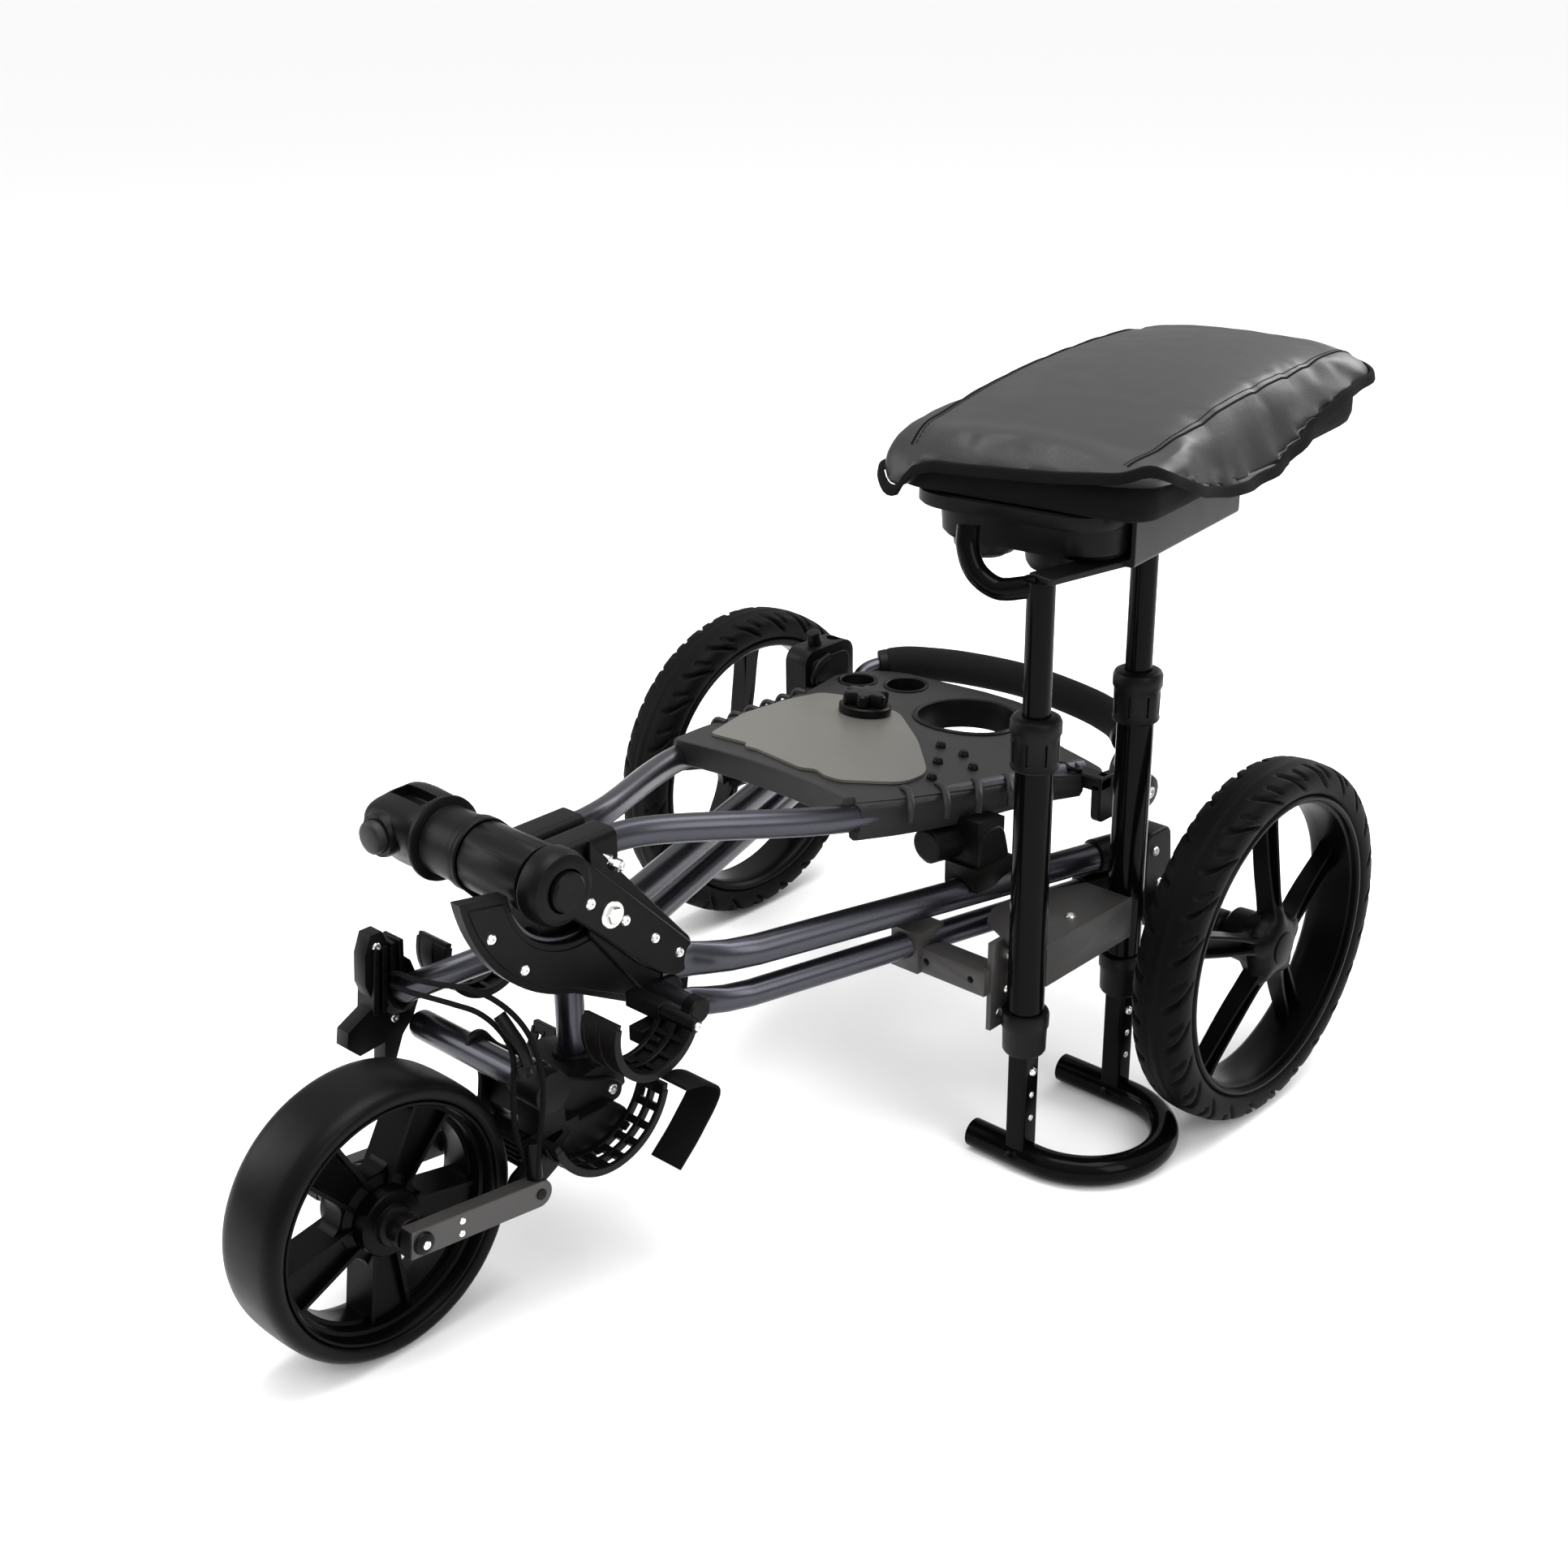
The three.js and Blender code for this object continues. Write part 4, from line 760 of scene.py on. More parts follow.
def lock_knob():
    y, z = FOLD_AXIS
    flange = [(0, 70.6), (28, 70.6), (30.6, 72), (31, 74), (30, 76.4), (26, 77.4), (24, 80), (0, 80)]
    disc = revolve(flange, (0, y, z), (-1, 0, 0), 80)
    rings = []
    stations = [
        (76, 0.78), (79, 0.86), (84, 0.93), (92, 0.97), (108, 1), (118, 0.99), (124, 0.95), (128, 0.86),
        (130, 0.7),
    ]
    for along, scale in stations:
        ring = []
        for i in range(96):
            turn = 2 * math.pi * i / 96
            lobes = 0.5 + 0.5 * math.cos(3 * (turn - math.radians(35)))
            radius = scale * (24.5 + 8 * lobes**1.5)
            ring.append((-along, y + radius * math.cos(turn), z + radius * math.sin(turn)))
        rings.append(ring)
    head = rings_to_shape(rings)
    slot_low, slot_high = z + 16, z + 45
    slot = rounded([(y - 7, slot_low), (y + 9, slot_low), (y + 9, slot_high), (y - 7, slot_high)], 2)
    slot_cut = slab(slot, -122, -88)
    bore = rod((-106, -534, 303), (-106, -560, 303), 12.6)
    knob = boolean(head, [slot_cut, bore])
    collar_profile = [(12.6, 0), (16, 0), (16.6, 1), (16.6, 26), (15.6, 28.6), (12.6, 28.6)]
    collar = revolve(collar_profile, (-106, -512, 303), (0, -1, 0), 56, True)
    body = merged(disc, knob, collar)
    stand_in("lock_knob", body, PLASTIC, "lock_knob", crease=34)
    press = [(0, 0.8), (8, 0.4), (11, -0.6), (12, -2), (12, -20), (0, -20)]
    button = revolve(press, (-106, -548, 303), (0, -1, 0), 56)
    stand_in("lock_button", button, CHARCOAL, "lock_button", crease=40)


# ---- Legs ---------------------------------------------------------------------------------------------
def flattening_bar(start, end, radius, flat_length=26, tuck=0.0):
    """A round bar whose first stretch is pressed to an upright tongue and bent inwards by tuck."""
    start, end = Vector(start), Vector(end)
    length = (end - start).length
    stops = [
        0, 6, flat_length * 0.45, flat_length * 0.75, flat_length, flat_length * 1.4, flat_length * 2,
        length,
    ]
    path = [start.lerp(end, stop / length) for stop in stops]
    shares = [0.40, 0.40, 0.42, 0.48, 0.66, 0.88, 1, 1]
    bends = [0.6, 0.66, 0.72, 0.62, 0.4, 0.14, 0, 0]
    rings = []
    axis = (end - start).normalized()
    across = axis.cross(Vector((0, 0, 1))).normalized()
    up = across.cross(axis)
    for point, share, bend in zip(path, shares, bends):
        tall = radius * (1.22 - 0.22 * (share - 0.42) / 0.58)
        middle = point - Vector((math.copysign(tuck * bend, point.x), 0, 0))
        rings.append([middle + across * a + up * b for a, b in circle(radius * share, 40, tall)])
    return rings_to_shape(rings)


def legs():
    for side, sign in SIDES.items():
        upper = flattening_bar((sign * 44.5, -408, 197), (sign * 170, -8, 198), 11.5, 34, 20)
        stand_in("upper_bar", upper, ANODISED, "chassis", side, crease=60)
        lower = flattening_bar((sign * 48, -408, 163.8), (sign * 166, -18, 172), 10, 30, 20)
        stand_in("lower_bar", lower, ANODISED, "chassis", side, crease=60)
        outline = rounded(
            [(-26, 150), (-16, 130), (14, 130), (14, 158), (8, 214), (-26, 214)], [6, 5, 6, 6, 9, 9],
        )
        casting = side_slab(outline, sign, 152, 186)
        spindle = [
            (0, 152), (14, 152), (14, 196), (12.6, 200), (12.6, 236), (14, 238), (14, 244.6), (13, 246),
            (6.2, 246), (0, 246),
        ]
        housing = revolve(spindle, (0, *REAR_AXLE), (sign, 0, 0), 48)
        stand_in("leg_end", casting, PLASTIC, "chassis", side, bevel=2.2)
        place(f"axle_housing_{side}", housing, PLASTIC, "chassis", crease=30)
        sockets = []
        for start, end, radius in (
            ((53, -383, 197), (170, -8, 198), 14), ((51, -398, 164), (166, -18, 172), 12.4),
        ):
            a, b = (Vector((sign * x, y, z)) for x, y, z in (start, end))
            sockets.append(tube([a.lerp(b, 0.875), a.lerp(b, 0.985)], radius, 36, straight=True))
        place(f"leg_sockets_{side}", merged(*sockets), PLASTIC, "chassis", bevel=1)
        heads = [screw((sign * 186, y, z), (sign, 0, 0), 4, 2) for y, z in ((-14, 198), (-6, 168))]
        place(f"leg_screws_{side}", merged(*heads), ZINC, "chassis")
        pin = revolve([(0, 192), (6, 192), (6, 288), (5, 289), (0, 289)], (0, *REAR_AXLE), (sign, 0, 0), 32)
        stand_in("rear_axle", pin, ZINC, "chassis", side, crease=40)


# ---- Handle frame -------------------------------------------------------------------------------------
def console_point(u, v, w):
    return ON_CONSOLE @ Vector((u, v, w))


def handle_path(sign):
    return smooth_path(
        [
            (sign * 16, -474, 302), (sign * 16, -442, 302), (sign * 22, -410, 300.5),
            console_point(sign * 86, 0, -15), console_point(sign * 103, 110, -15),
            console_point(sign * 116, 190, -14), console_point(sign * 125, 238, -13),
        ]
    )


def handle_tubes():
    ring = circle(9.4, 32, 10.6)
    for side, sign in SIDES.items():
        shape = sweep(handle_path(sign), lambda t: ring)
        stand_in("handle_tube", shape, ANODISED, "handle_frame", side, crease=60)


CUPS = [(-118, 248, 15), (-80, 267, 17)]
BOTTLE_RING = (8, 240, 41)
TEE_HOLES = [(43, 162), (66, 130), (86, 98), (66, 162), (88, 146)]


def quadratic(start, control, end, steps=10):
    a, c, b = Vector(start), Vector(control), Vector(end)
    points = []
    for step in range(steps + 1):
        t = step / steps
        points.append(tuple(a * (1 - t) ** 2 + c * 2 * t * (1 - t) + b * t * t))
    return points


def on_console(shape, bowed=True):
    """Sets a shape given in the console's u, v, w onto it; its top droops at the right and lifts behind."""
    if bowed:
        low = Vector([min(vert.co[i] for vert in shape.verts) for i in range(3)])
        high = Vector([max(vert.co[i] for vert in shape.verts) for i in range(3)])
        for axis in (0, 1):
            for i in range(1, int((high[axis] - low[axis]) / 12)):
                spot, normal = Vector(), Vector()
                spot[axis] = low[axis] + 12 * i
                normal[axis] = 1
                everything = [*shape.verts, *shape.edges, *shape.faces]
                bmesh.ops.bisect_plane(shape, geom=everything, plane_co=spot, plane_no=normal)
        for vert in shape.verts:
            u, v, _ = vert.co
            lift = 7 * (max(v - 190, 0) / 100) ** 2
            droop = 7 * (max(u - 20, 0) / 100) ** 2
            vert.co.z += lift - droop
    return moved(shape, ON_CONSOLE)


def console_outline():
    outline = quadratic((-87, 0), (0, 22), (87, 0), 16)
    outline += [(100, 44), (113, 111), (124, 188)]
    outline += quadratic((142, 232), (146, 246), (134, 247), 6)
    outline += quadratic((100, 250), (72, 256), (64, 276), 8)
    outline += quadratic((62, 279), (50, 296), (10, 299), 8)
    outline += [(-20, 299)]
    outline += quadratic((-96, 291), (-134, 282), (-141, 245), 10)
    outline += [(-124, 188), (-113, 111), (-100, 44)]
    return outline


def console():
    top = slab(console_outline(), -7, 0, "XY")
    holes = []
    for u, v, radius in (BOTTLE_RING, *CUPS):
        holes.append(slab(arc((u, v), radius - 0.4, 0, 360, 56)[:-1], -60, 20, "XY"))
    shell = on_console(boolean(top, holes))
    place("console_top", shell, CHARCOAL, "handle_frame", bevel=2.2, replaces=["console_tray"])

    for side, sign in SIDES.items():
        edge = smooth_path([(97, 5, 0), (106, 44, 0), (115.5, 110, 0), (128, 188, 0), (139, 224, 0)], 8)
        rings = []
        for u, v, _ in edge:
            deep = 28 - 8 * max((v - 110) / 112, 0)
            ring = [
                (-26, -3), (-8, -0.4), (-3, -1), (-0.8, -3), (0, -8), (-0.6, -0.7 * deep),
                (-2.6, -deep + 1.4), (-6, -deep), (-10, -deep + 1), (-16, -6),
            ]
            rings.append([(sign * (u + a), v, w) for a, w in ring])
        rail = on_console(rings_to_shape(rings))
        place(f"console_rail_{side}", rail, CHARCOAL, "handle_frame", bevel=0.8)

    lip_path = quadratic((-88, 3), (0, 25), (88, 3), 24)
    lip_section = [(7, 1.2), (-3.4, 1.2), (-4.6, -1), (-4.8, -18), (-2, -20), (6, -18)]
    lip = sweep([(u, v, 0) for u, v in lip_path], lambda t: lip_section)
    place("console_lip", on_console(lip, bowed=False), CHARCOAL, "handle_frame", bevel=1.4)

    outline = [
        (-80, 28), (-46, 34), (-42, 27), (-30, 29), (20, 22), (30, 29), (42, 24), (56, 26), (84, 66),
        (80, 100), (26, 154), (-34, 203), (-92, 203), (-111, 192), (-112, 152), (-104, 90),
    ]
    ease = [6, 3, 3, 3, 3, 3, 3, 6, 14, 14, 16, 14, 8, 8, 8, 8]
    base = slab(rounded(outline, ease), 0.3, 2.4, "XY")
    stand_in("console_panel", on_console(base), PANEL, "handle_frame", bevel=0.8)

    u, v, radius = BOTTLE_RING
    collar = [
        (radius + 4.6, -2), (radius + 4, 1), (radius + 1.6, 2.2), (radius - 0.4, 1.4), (radius - 1.2, -4),
        (radius - 1.6, -22), (radius + 0.6, -22.6), (radius + 4.6, -20),
    ]
    ring = on_console(revolve(collar, (u, v, 0), (0, 0, 1), 96, True))
    place("bottle_ring_rim", ring, PLASTIC, "handle_frame", crease=30)
    wells = []
    for u, v, radius in CUPS:
        profile = [
            (radius + 2.6, -1), (radius + 2.2, 1), (radius + 0.6, 1.6), (radius - 0.8, 0.8),
            (radius - 1.2, -16), (radius + 1, -17), (radius + 1.6, -6),
        ]
        wells.append(revolve(profile, (u, v, 0), (0, 0, 1), 64, True))
        if u > -100:
            floor = [(0, -13.6), (radius - 1, -13.6), (radius - 1, -15.4), (0, -15.4)]
            wells.append(revolve(floor, (u, v, 0), (0, 0, 1), 64))
    place("cup_wells", on_console(merged(*wells)), PLASTIC, "handle_frame", crease=30)

    pegs = []
    for u, v in TEE_HOLES:
        peg = [(0, 4.4), (2.4, 4.4), (3.6, 3.2), (4.2, 0.4), (4.2, -0.4), (0, -0.4)]
        pegs.append(revolve(peg, (u, v, 0), (0, 0, 1), 28))
    place("tee_sockets", on_console(merged(*pegs)), PLASTIC, "handle_frame", crease=34)

    ribs = []
    for start, end in (
        ((88, 62), (111, 44)), ((95, 94), (119, 76)), ((104, 128), (124, 108)), ((110, 158), (128, 142)),
    ):
        bend = (Vector(start) + Vector(end)) / 2 + Vector((-3, 5))
        path = smooth_path([(*start, 0.6), (*bend, 1.2), (*end, -2), (end[0] + 2.5, end[1] - 3, -12)], 6)
        ribs.append(sweep(path, lambda t: [(a * (1.1 - 0.3 * t), b) for a, b in circle(3.2, 16, 2.4)]))
    for i in range(6):
        v = 66 + i * 24
        u = -104 - (v - 44) * 0.194
        over = [(u + 9, v, 0.2), (u + 1, v - 3, 0.6), (u - 2.6, v - 4, -7)]
        ribs.append(tube(over, 3.2, 14, 4, high=2.2))
    place("console_ribs", on_console(merged(*ribs)), CHARCOAL, "handle_frame", crease=50)

    clip = [(114, 214, 2), (122, 219, 2.6), (130, 218, 2.4), (134, 224, 2.2), (126, 228, 2.2)]
    hook = tube(smooth_path(clip, 6), 1.8, 12, 2)
    place("console_hook", on_console(hook), PLASTIC, "handle_frame", crease=60)


def thumb_knob():
    rings = []
    stations = [
        (0, 0.94, 0), (1, 1, 0), (6, 1, 0), (7.2, 0.94, 0), (7.4, 0.84, 1), (8.6, 0.9, 1), (16, 0.9, 1),
        (17.6, 0.82, 1), (18, 0.5, 1),
    ]
    for w, scale, lobed in stations:
        ring = []
        for i in range(96):
            turn = 2 * math.pi * i / 96
            wave = 0.5 + 0.5 * math.cos(6 * turn)
            radius = scale * (21.5 - lobed * 7.4 * (1 - wave) ** 1.4)
            ring.append((radius * math.cos(turn), radius * math.sin(turn), w))
        rings.append(ring)
    shape = rings_to_shape(rings)
    shape.transform(ON_CONSOLE @ Matrix.Translation((-50, 178, 2.8)))
    stand_in("console_knob", shape, PLASTIC, "console_knob", crease=34)


def latch_clip():
    stem = cad_copy("latch_clip")
    stand_in("latch_clip", stem, PLASTIC, "handle_frame", bevel=3.2)
    nose = [(0, -1), (11, -1), (13.4, 0.6), (14, 3), (14, 34), (0, 34)]
    roll = revolve(nose, (100, -193, 238), (0, 1, 0), 56)
    place("latch_nose", roll, PLASTIC, "handle_frame", crease=32)
    outline = rounded([(-174, 206), (-136, 206), (-134, 222), (-142, 250), (-170, 250)], [6, 6, 8, 10, 10])
    place("latch_shell", slab(outline, 106, 134), PLASTIC, "handle_frame", bevel=3)


def umbrella_holder():
    body = cad_copy("umbrella_holder")
    stand_in("umbrella_holder", body, PLASTIC, "handle_frame", bevel=1.4)
    panel = slab(rounded([(-44, 238), (5, 238), (5, 284), (-44, 284)], 10), -153.4, -150.6)
    place("umbrella_holder_panel", panel, PLASTIC, "handle_frame", bevel=1)
    bow = smooth_path([(-151, -40, 258), (-149, -44, 270), (-150, -36, 280), (-151, -22, 284)], 8)
    place("umbrella_bow", tube(bow, 3, 16, 2), PLASTIC, "handle_frame", crease=60)


def grip_bracket():
    y, z = GRIP_AXIS
    for side, sign in SIDES.items():
        outside = 156 if sign > 0 else 152.4
        outline = rounded(
            [(-50, z - 14), (y + 8, z - 14), (y + 15, z), (y + 8, z + 14), (-30, 262), (-50, 262)], 7,
        )
        plate = side_slab(outline, sign, 147, outside)
        place(f"grip_bracket_{side}", plate, PLASTIC, "handle_frame", bevel=1.5)
        arm = side_block(sign, 118, 156, (-50, 250), (-34, 262))
        place(f"grip_bracket_arm_{side}", arm, PLASTIC, "handle_frame", bevel=2)
        if sign > 0:
            boss = [(0, 147), (14, 147), (14, 164), (12.6, 167), (8, 168), (0, 168)]
            place("grip_boss", revolve(boss, (0, y, z), (1, 0, 0), 56), PLASTIC, "handle_frame", crease=32)
            place("grip_screw", screw((168, y, z), (1, 0, 0), 5, 1.8), ZINC, "handle_frame")


def loop_points():
    y, z = GRIP_AXIS
    half = [(137, y, z), (138, 2, 252), (137, 13, 263), (119, 35, 269), (88, 50, 271), (46, 58, 273)]
    return smooth_path([*half, (0, 61, 274), *[(-a, b, c) for a, b, c in reversed(half)]], 12)


def handle_loop():
    path = loop_points()
    y, z = GRIP_AXIS
    bar = tube(path, 8, 28, straight=True, up=(0, 1, 0))
    ring = [(4.4, 129.6), (10.4, 129.6), (11, 130.4), (11, 145.8), (10.4, 146.6), (4.4, 146.6)]
    eyes = [revolve(ring, (0, y, z), (sign, 0, 0), 40, True) for sign in (-1, 1)]
    stand_in("handle_loop", merged(bar, *eyes), ANODISED, "handle_loop", crease=50)
    lengths = [0.0]
    for a, b in zip(path, path[1:]):
        lengths.append(lengths[-1] + (b - a).length)
    start, stop = 0.13 * lengths[-1], 0.87 * lengths[-1]
    inner = [p for p, s in zip(path, lengths) if start <= s <= stop]
    sleeve = sweep(inner, lambda t: circle(13.2 + 1.2 * min(1, min(t, 1 - t) * 60) ** 0.5, 40), (0, 1, 0))
    stand_in("handle_grip", sleeve, FOAM, "handle_loop", crease=60)
    collars = []
    for end, inside in ((inner[0], inner[1]), (inner[-1], inner[-2])):
        direction = (inside - end).normalized()
        profile = [(8.2, -7), (12.6, -7), (13.6, -6), (14, 0.6), (8.2, 0.6)]
        collars.append(revolve(profile, end, direction, 40, True))
    place("grip_collars", merged(*collars), PLASTIC, "handle_loop", crease=32)


# ---- Seat ---------------------------------------------------------------------------------------------
SEAT_HALF = (112, 205)
SEAM_AT = 87
COVER_VOXEL = 0.005  # metres between points once the cover is remeshed
MOST_SWELL = 0.005  # metres that the pressure may move a point
CLOTH_FRAMES = 20
RIGHT_FLAP = [
    (-205, 555), (-170, 540), (-130, 523), (-90, 514), (-50, 510), (-10, 512), (30, 521), (70, 534),
    (110, 544), (205, 548),
]  # along the seat, height
FRONT_EDGE = [
    (-112, 514), (-100, 510), (-85, 511), (-76, 526), (-58, 533), (-20, 535), (38, 539), (86, 545),
    (112, 553),
]  # across the seat, height


def seat_outline(inset=0.0):
    """The cover's plan outline in the seat's own axes, as points."""
    half_p, half_q = SEAT_HALF[0] - inset, SEAT_HALF[1] - inset
    corners = [(1, 1, 0, 58), (-1, 1, 90, 56), (-1, -1, 180, 32), (1, -1, 270, 34)]
    outline = []
    for a, b, start, radius in corners:
        corner = max(radius - inset, 6)
        centre = (a * (half_p - corner), b * (half_q - corner))
        outline += arc(centre, corner, start, start + 90, 12)
    finished = []
    for i, here in enumerate(outline):
        there = outline[(i + 1) % len(outline)]
        gap = math.dist(here, there)
        pieces = max(round(gap / 8), 1)
        finished += [tuple(Vector(here).lerp(Vector(there), k / pieces)) for k in range(pieces)]
    return finished


def between(value, stops):
    """Straight-line interpolation through (position, result) stops."""
    for (a, low), (b, high) in zip(stops, stops[1:]):
        if value <= b:
            return low + (high - low) * max((value - a) / (b - a), 0)
    return stops[-1][1]


def cover_edge(p, q):
    """Height of the cover's bound edge: flaps hang at both sides, and the two ends are cut higher."""
    side = min(max((abs(p) - 92) / 18, 0), 1)
    side = side * side * (3 - 2 * side)
    flap = between(q, RIGHT_FLAP) if p > 0 else 521
    end = between(p, FRONT_EDGE) if q < 0 else 548
    return flap * side + end * (1 - side)


def cover_top(p, q):
    """Height of the crowned top: highest behind the middle, falling most towards the front."""
    across = abs(p) / SEAT_HALF[0]
    fall = 25 * ((50 - q) / 255) ** 2.1 if q < 50 else 8 * ((q - 50) / 155) ** 2
    return 570 - fall - 9.5 * across**2.1


def cover_shape():
    outline = seat_outline()
    rings = []
    for share in [0.04, 0.16, 0.3, 0.44, 0.58, 0.7, 0.78]:
        rings.append([(p * share, q * share, cover_top(p * share, q * share)) for p, q in outline])
    shoulder = rings[-1]
    for step in range(1, 12):
        t = step / 11
        ring = []
        for (p, q), inner in zip(outline, shoulder):
            side = min(max((p - 88) / 20, 0), 1) * min(max((150 - abs(q)) / 40, 0), 1)
            rolled_out = math.sin(t * math.pi / 2) ** 0.9
            rolled_down = 1 - max(math.cos(t * math.pi / 2), 0) ** 0.9
            outward = rolled_out * (1 - side) + t**0.92 * side
            down = rolled_down * (1 - side) + t**1.18 * side
            full = 0.78 + 0.22 * outward
            wrinkle = math.sin(q / 9.5 + 0.9 * math.sin(q / 31))
            crease = 1.3 * down * wrinkle * min(max(abs(p) - 70, 0) / 30, 1)
            pull = 1 - crease / SEAT_HALF[0]
            ring.append((p * full * pull, q * full, inner[2] + (cover_edge(p, q) - inner[2]) * down))
        rings.append(ring)
    edge_ring = rings[-1]
    for share, rise in ((0.93, 2), (0.8, 4), (0.5, 6), (0.1, 6)):
        floor = 516 if share > 0.9 else 524
        rings.append([(p * share, q * share, max(min(z + rise, 534), floor)) for p, q, z in edge_ring])
    return rings_to_shape(rings), edge_ring


def inflate(piece):
    """Swells a closed cover under pressure; points near the bound edge stay where they are."""
    evener = piece.modifiers.new("even", "REMESH")
    evener.mode = "VOXEL"
    evener.voxel_size = COVER_VOXEL
    even = bpy.data.meshes.new_from_object(piece.evaluated_get(bpy.context.evaluated_depsgraph_get()))
    piece.modifiers.clear()
    piece.data = even
    rest = [vertex.co.copy() for vertex in even.vertices]
    cloth = piece.modifiers.new("cloth", "CLOTH")
    cloth.settings.quality = 6
    cloth.settings.mass = 0.3
    cloth.settings.tension_stiffness = 20
    cloth.settings.use_pressure = True
    cloth.settings.uniform_pressure_force = 4
    cloth.settings.effector_weights.gravity = 0
    cloth.point_cache.frame_start = 1
    cloth.point_cache.frame_end = CLOTH_FRAMES
    scene = bpy.context.scene
    for moment in range(1, CLOTH_FRAMES + 1):
        scene.frame_set(moment)
    swollen = piece.evaluated_get(bpy.context.evaluated_depsgraph_get()).to_mesh()
    to_seat = (TO_ROW @ ON_SEAT).inverted()
    for vertex, point, start in zip(even.vertices, swollen.vertices, rest):
        at_seat = to_seat @ start
        share = min(max((at_seat.z - cover_edge(at_seat.x, at_seat.y)) / 14, 0), 1)
        shift = point.co - start
        limit = MOST_SWELL * share
        if shift.length > limit:
            shift = shift.normalized() * limit
        vertex.co = start + shift
    piece.evaluated_get(bpy.context.evaluated_depsgraph_get()).to_mesh_clear()
    piece.modifiers.clear()
    scene.frame_set(1)


def seat_cover():
    shape, edge_ring = cover_shape()
    bmesh.ops.recalc_face_normals(shape, faces=shape.faces)
    shape.transform(TO_ROW @ ON_SEAT)
    mesh = bpy.data.meshes.new("seat_cover")
    shape.to_mesh(mesh)
    shape.free()
    cover = bpy.data.objects.new("seat_cover", mesh)
    bpy.context.scene.collection.objects.link(cover)
    inflate(cover)
    for face in cover.data.polygons:
        face.use_smooth = True
    cover.data.materials.clear()
    cover.data.materials.append(VINYL)
    finer = cover.modifiers.new("finer", "SUBSURF")
    finer.levels = finer.render_levels = 1
    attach(cover, "seat")
    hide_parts("seat_pad")

    tape = []
    half, low, high = 1.9, -3.5, 4.5
    section = rounded([(-half, low), (half, low), (half, high), (-half, high)], 1.7, 4)
    count = len(edge_ring)
    for i, point in enumerate(edge_ring):
        ahead, behind = Vector(edge_ring[(i + 1) % count]), Vector(edge_ring[i - 1])
        tangent = (ahead - behind).normalized()
        outward = Vector((tangent.y, -tangent.x, 0)).normalized()
        lean = Vector((0, 0, 1)) - outward * 0.2
        tape.append([Vector(point) + outward * (a + 0.8) + lean * b for a, b in section])
    binding = moved(rings_to_shape(tape, closed_along=True), ON_SEAT)
    place("seat_binding", binding, TAPE, "seat", crease=50)

    core = seat_outline(inset=11)
    levels = [(0.965, 511), (0.985, 513), (1, 519), (1, 528), (0.99, 536), (0.94, 541)]
    body = rings_to_shape([[(p * share, q * share, z) for p, q in core] for share, z in levels])
    place("seat_boxing", moved(body, ON_SEAT), WEBBING, "seat", crease=60)
    return cover


def surface_line(tree, points):
    """Drops points given in the seat's axes straight down onto the cover."""
    matrix = TO_ROW @ ON_SEAT
    back = matrix.inverted()
    landed = []
    for p, q in points:
        hit = tree.ray_cast(matrix @ Vector((p, q, 640)), Vector((0, 0, -1)))[0]
        if hit:
            landed.append(back @ hit)
    return landed


def seat_seams(cover):
    graph = bpy.context.evaluated_depsgraph_get()
    tree = BVHTree.FromObject(cover, graph)
    seams, stitches = [], []
    for sign in (-1, 1):
        line = [(sign * (SEAM_AT - 3 * abs(q / 190) ** 3), q) for q in range(-188, 189, 4)]
        path = surface_line(tree, line)
        seams.append(tube(path, 0.9, 10, straight=True))
        inner = surface_line(tree, [(p - sign * 3.2, q) for p, q in line])
        for a, b in zip(inner, inner[1:]):
            start, end = a.lerp(b, 0.15), a.lerp(b, 0.8)
            stitches.append(tube([start, end], 0.42, 6, straight=True))
    place("seat_seams", moved(merged(*seams), ON_SEAT), TAPE, "seat", crease=60)
    place("seat_stitches", moved(merged(*stitches), ON_SEAT), WEBBING, "seat", crease=60)


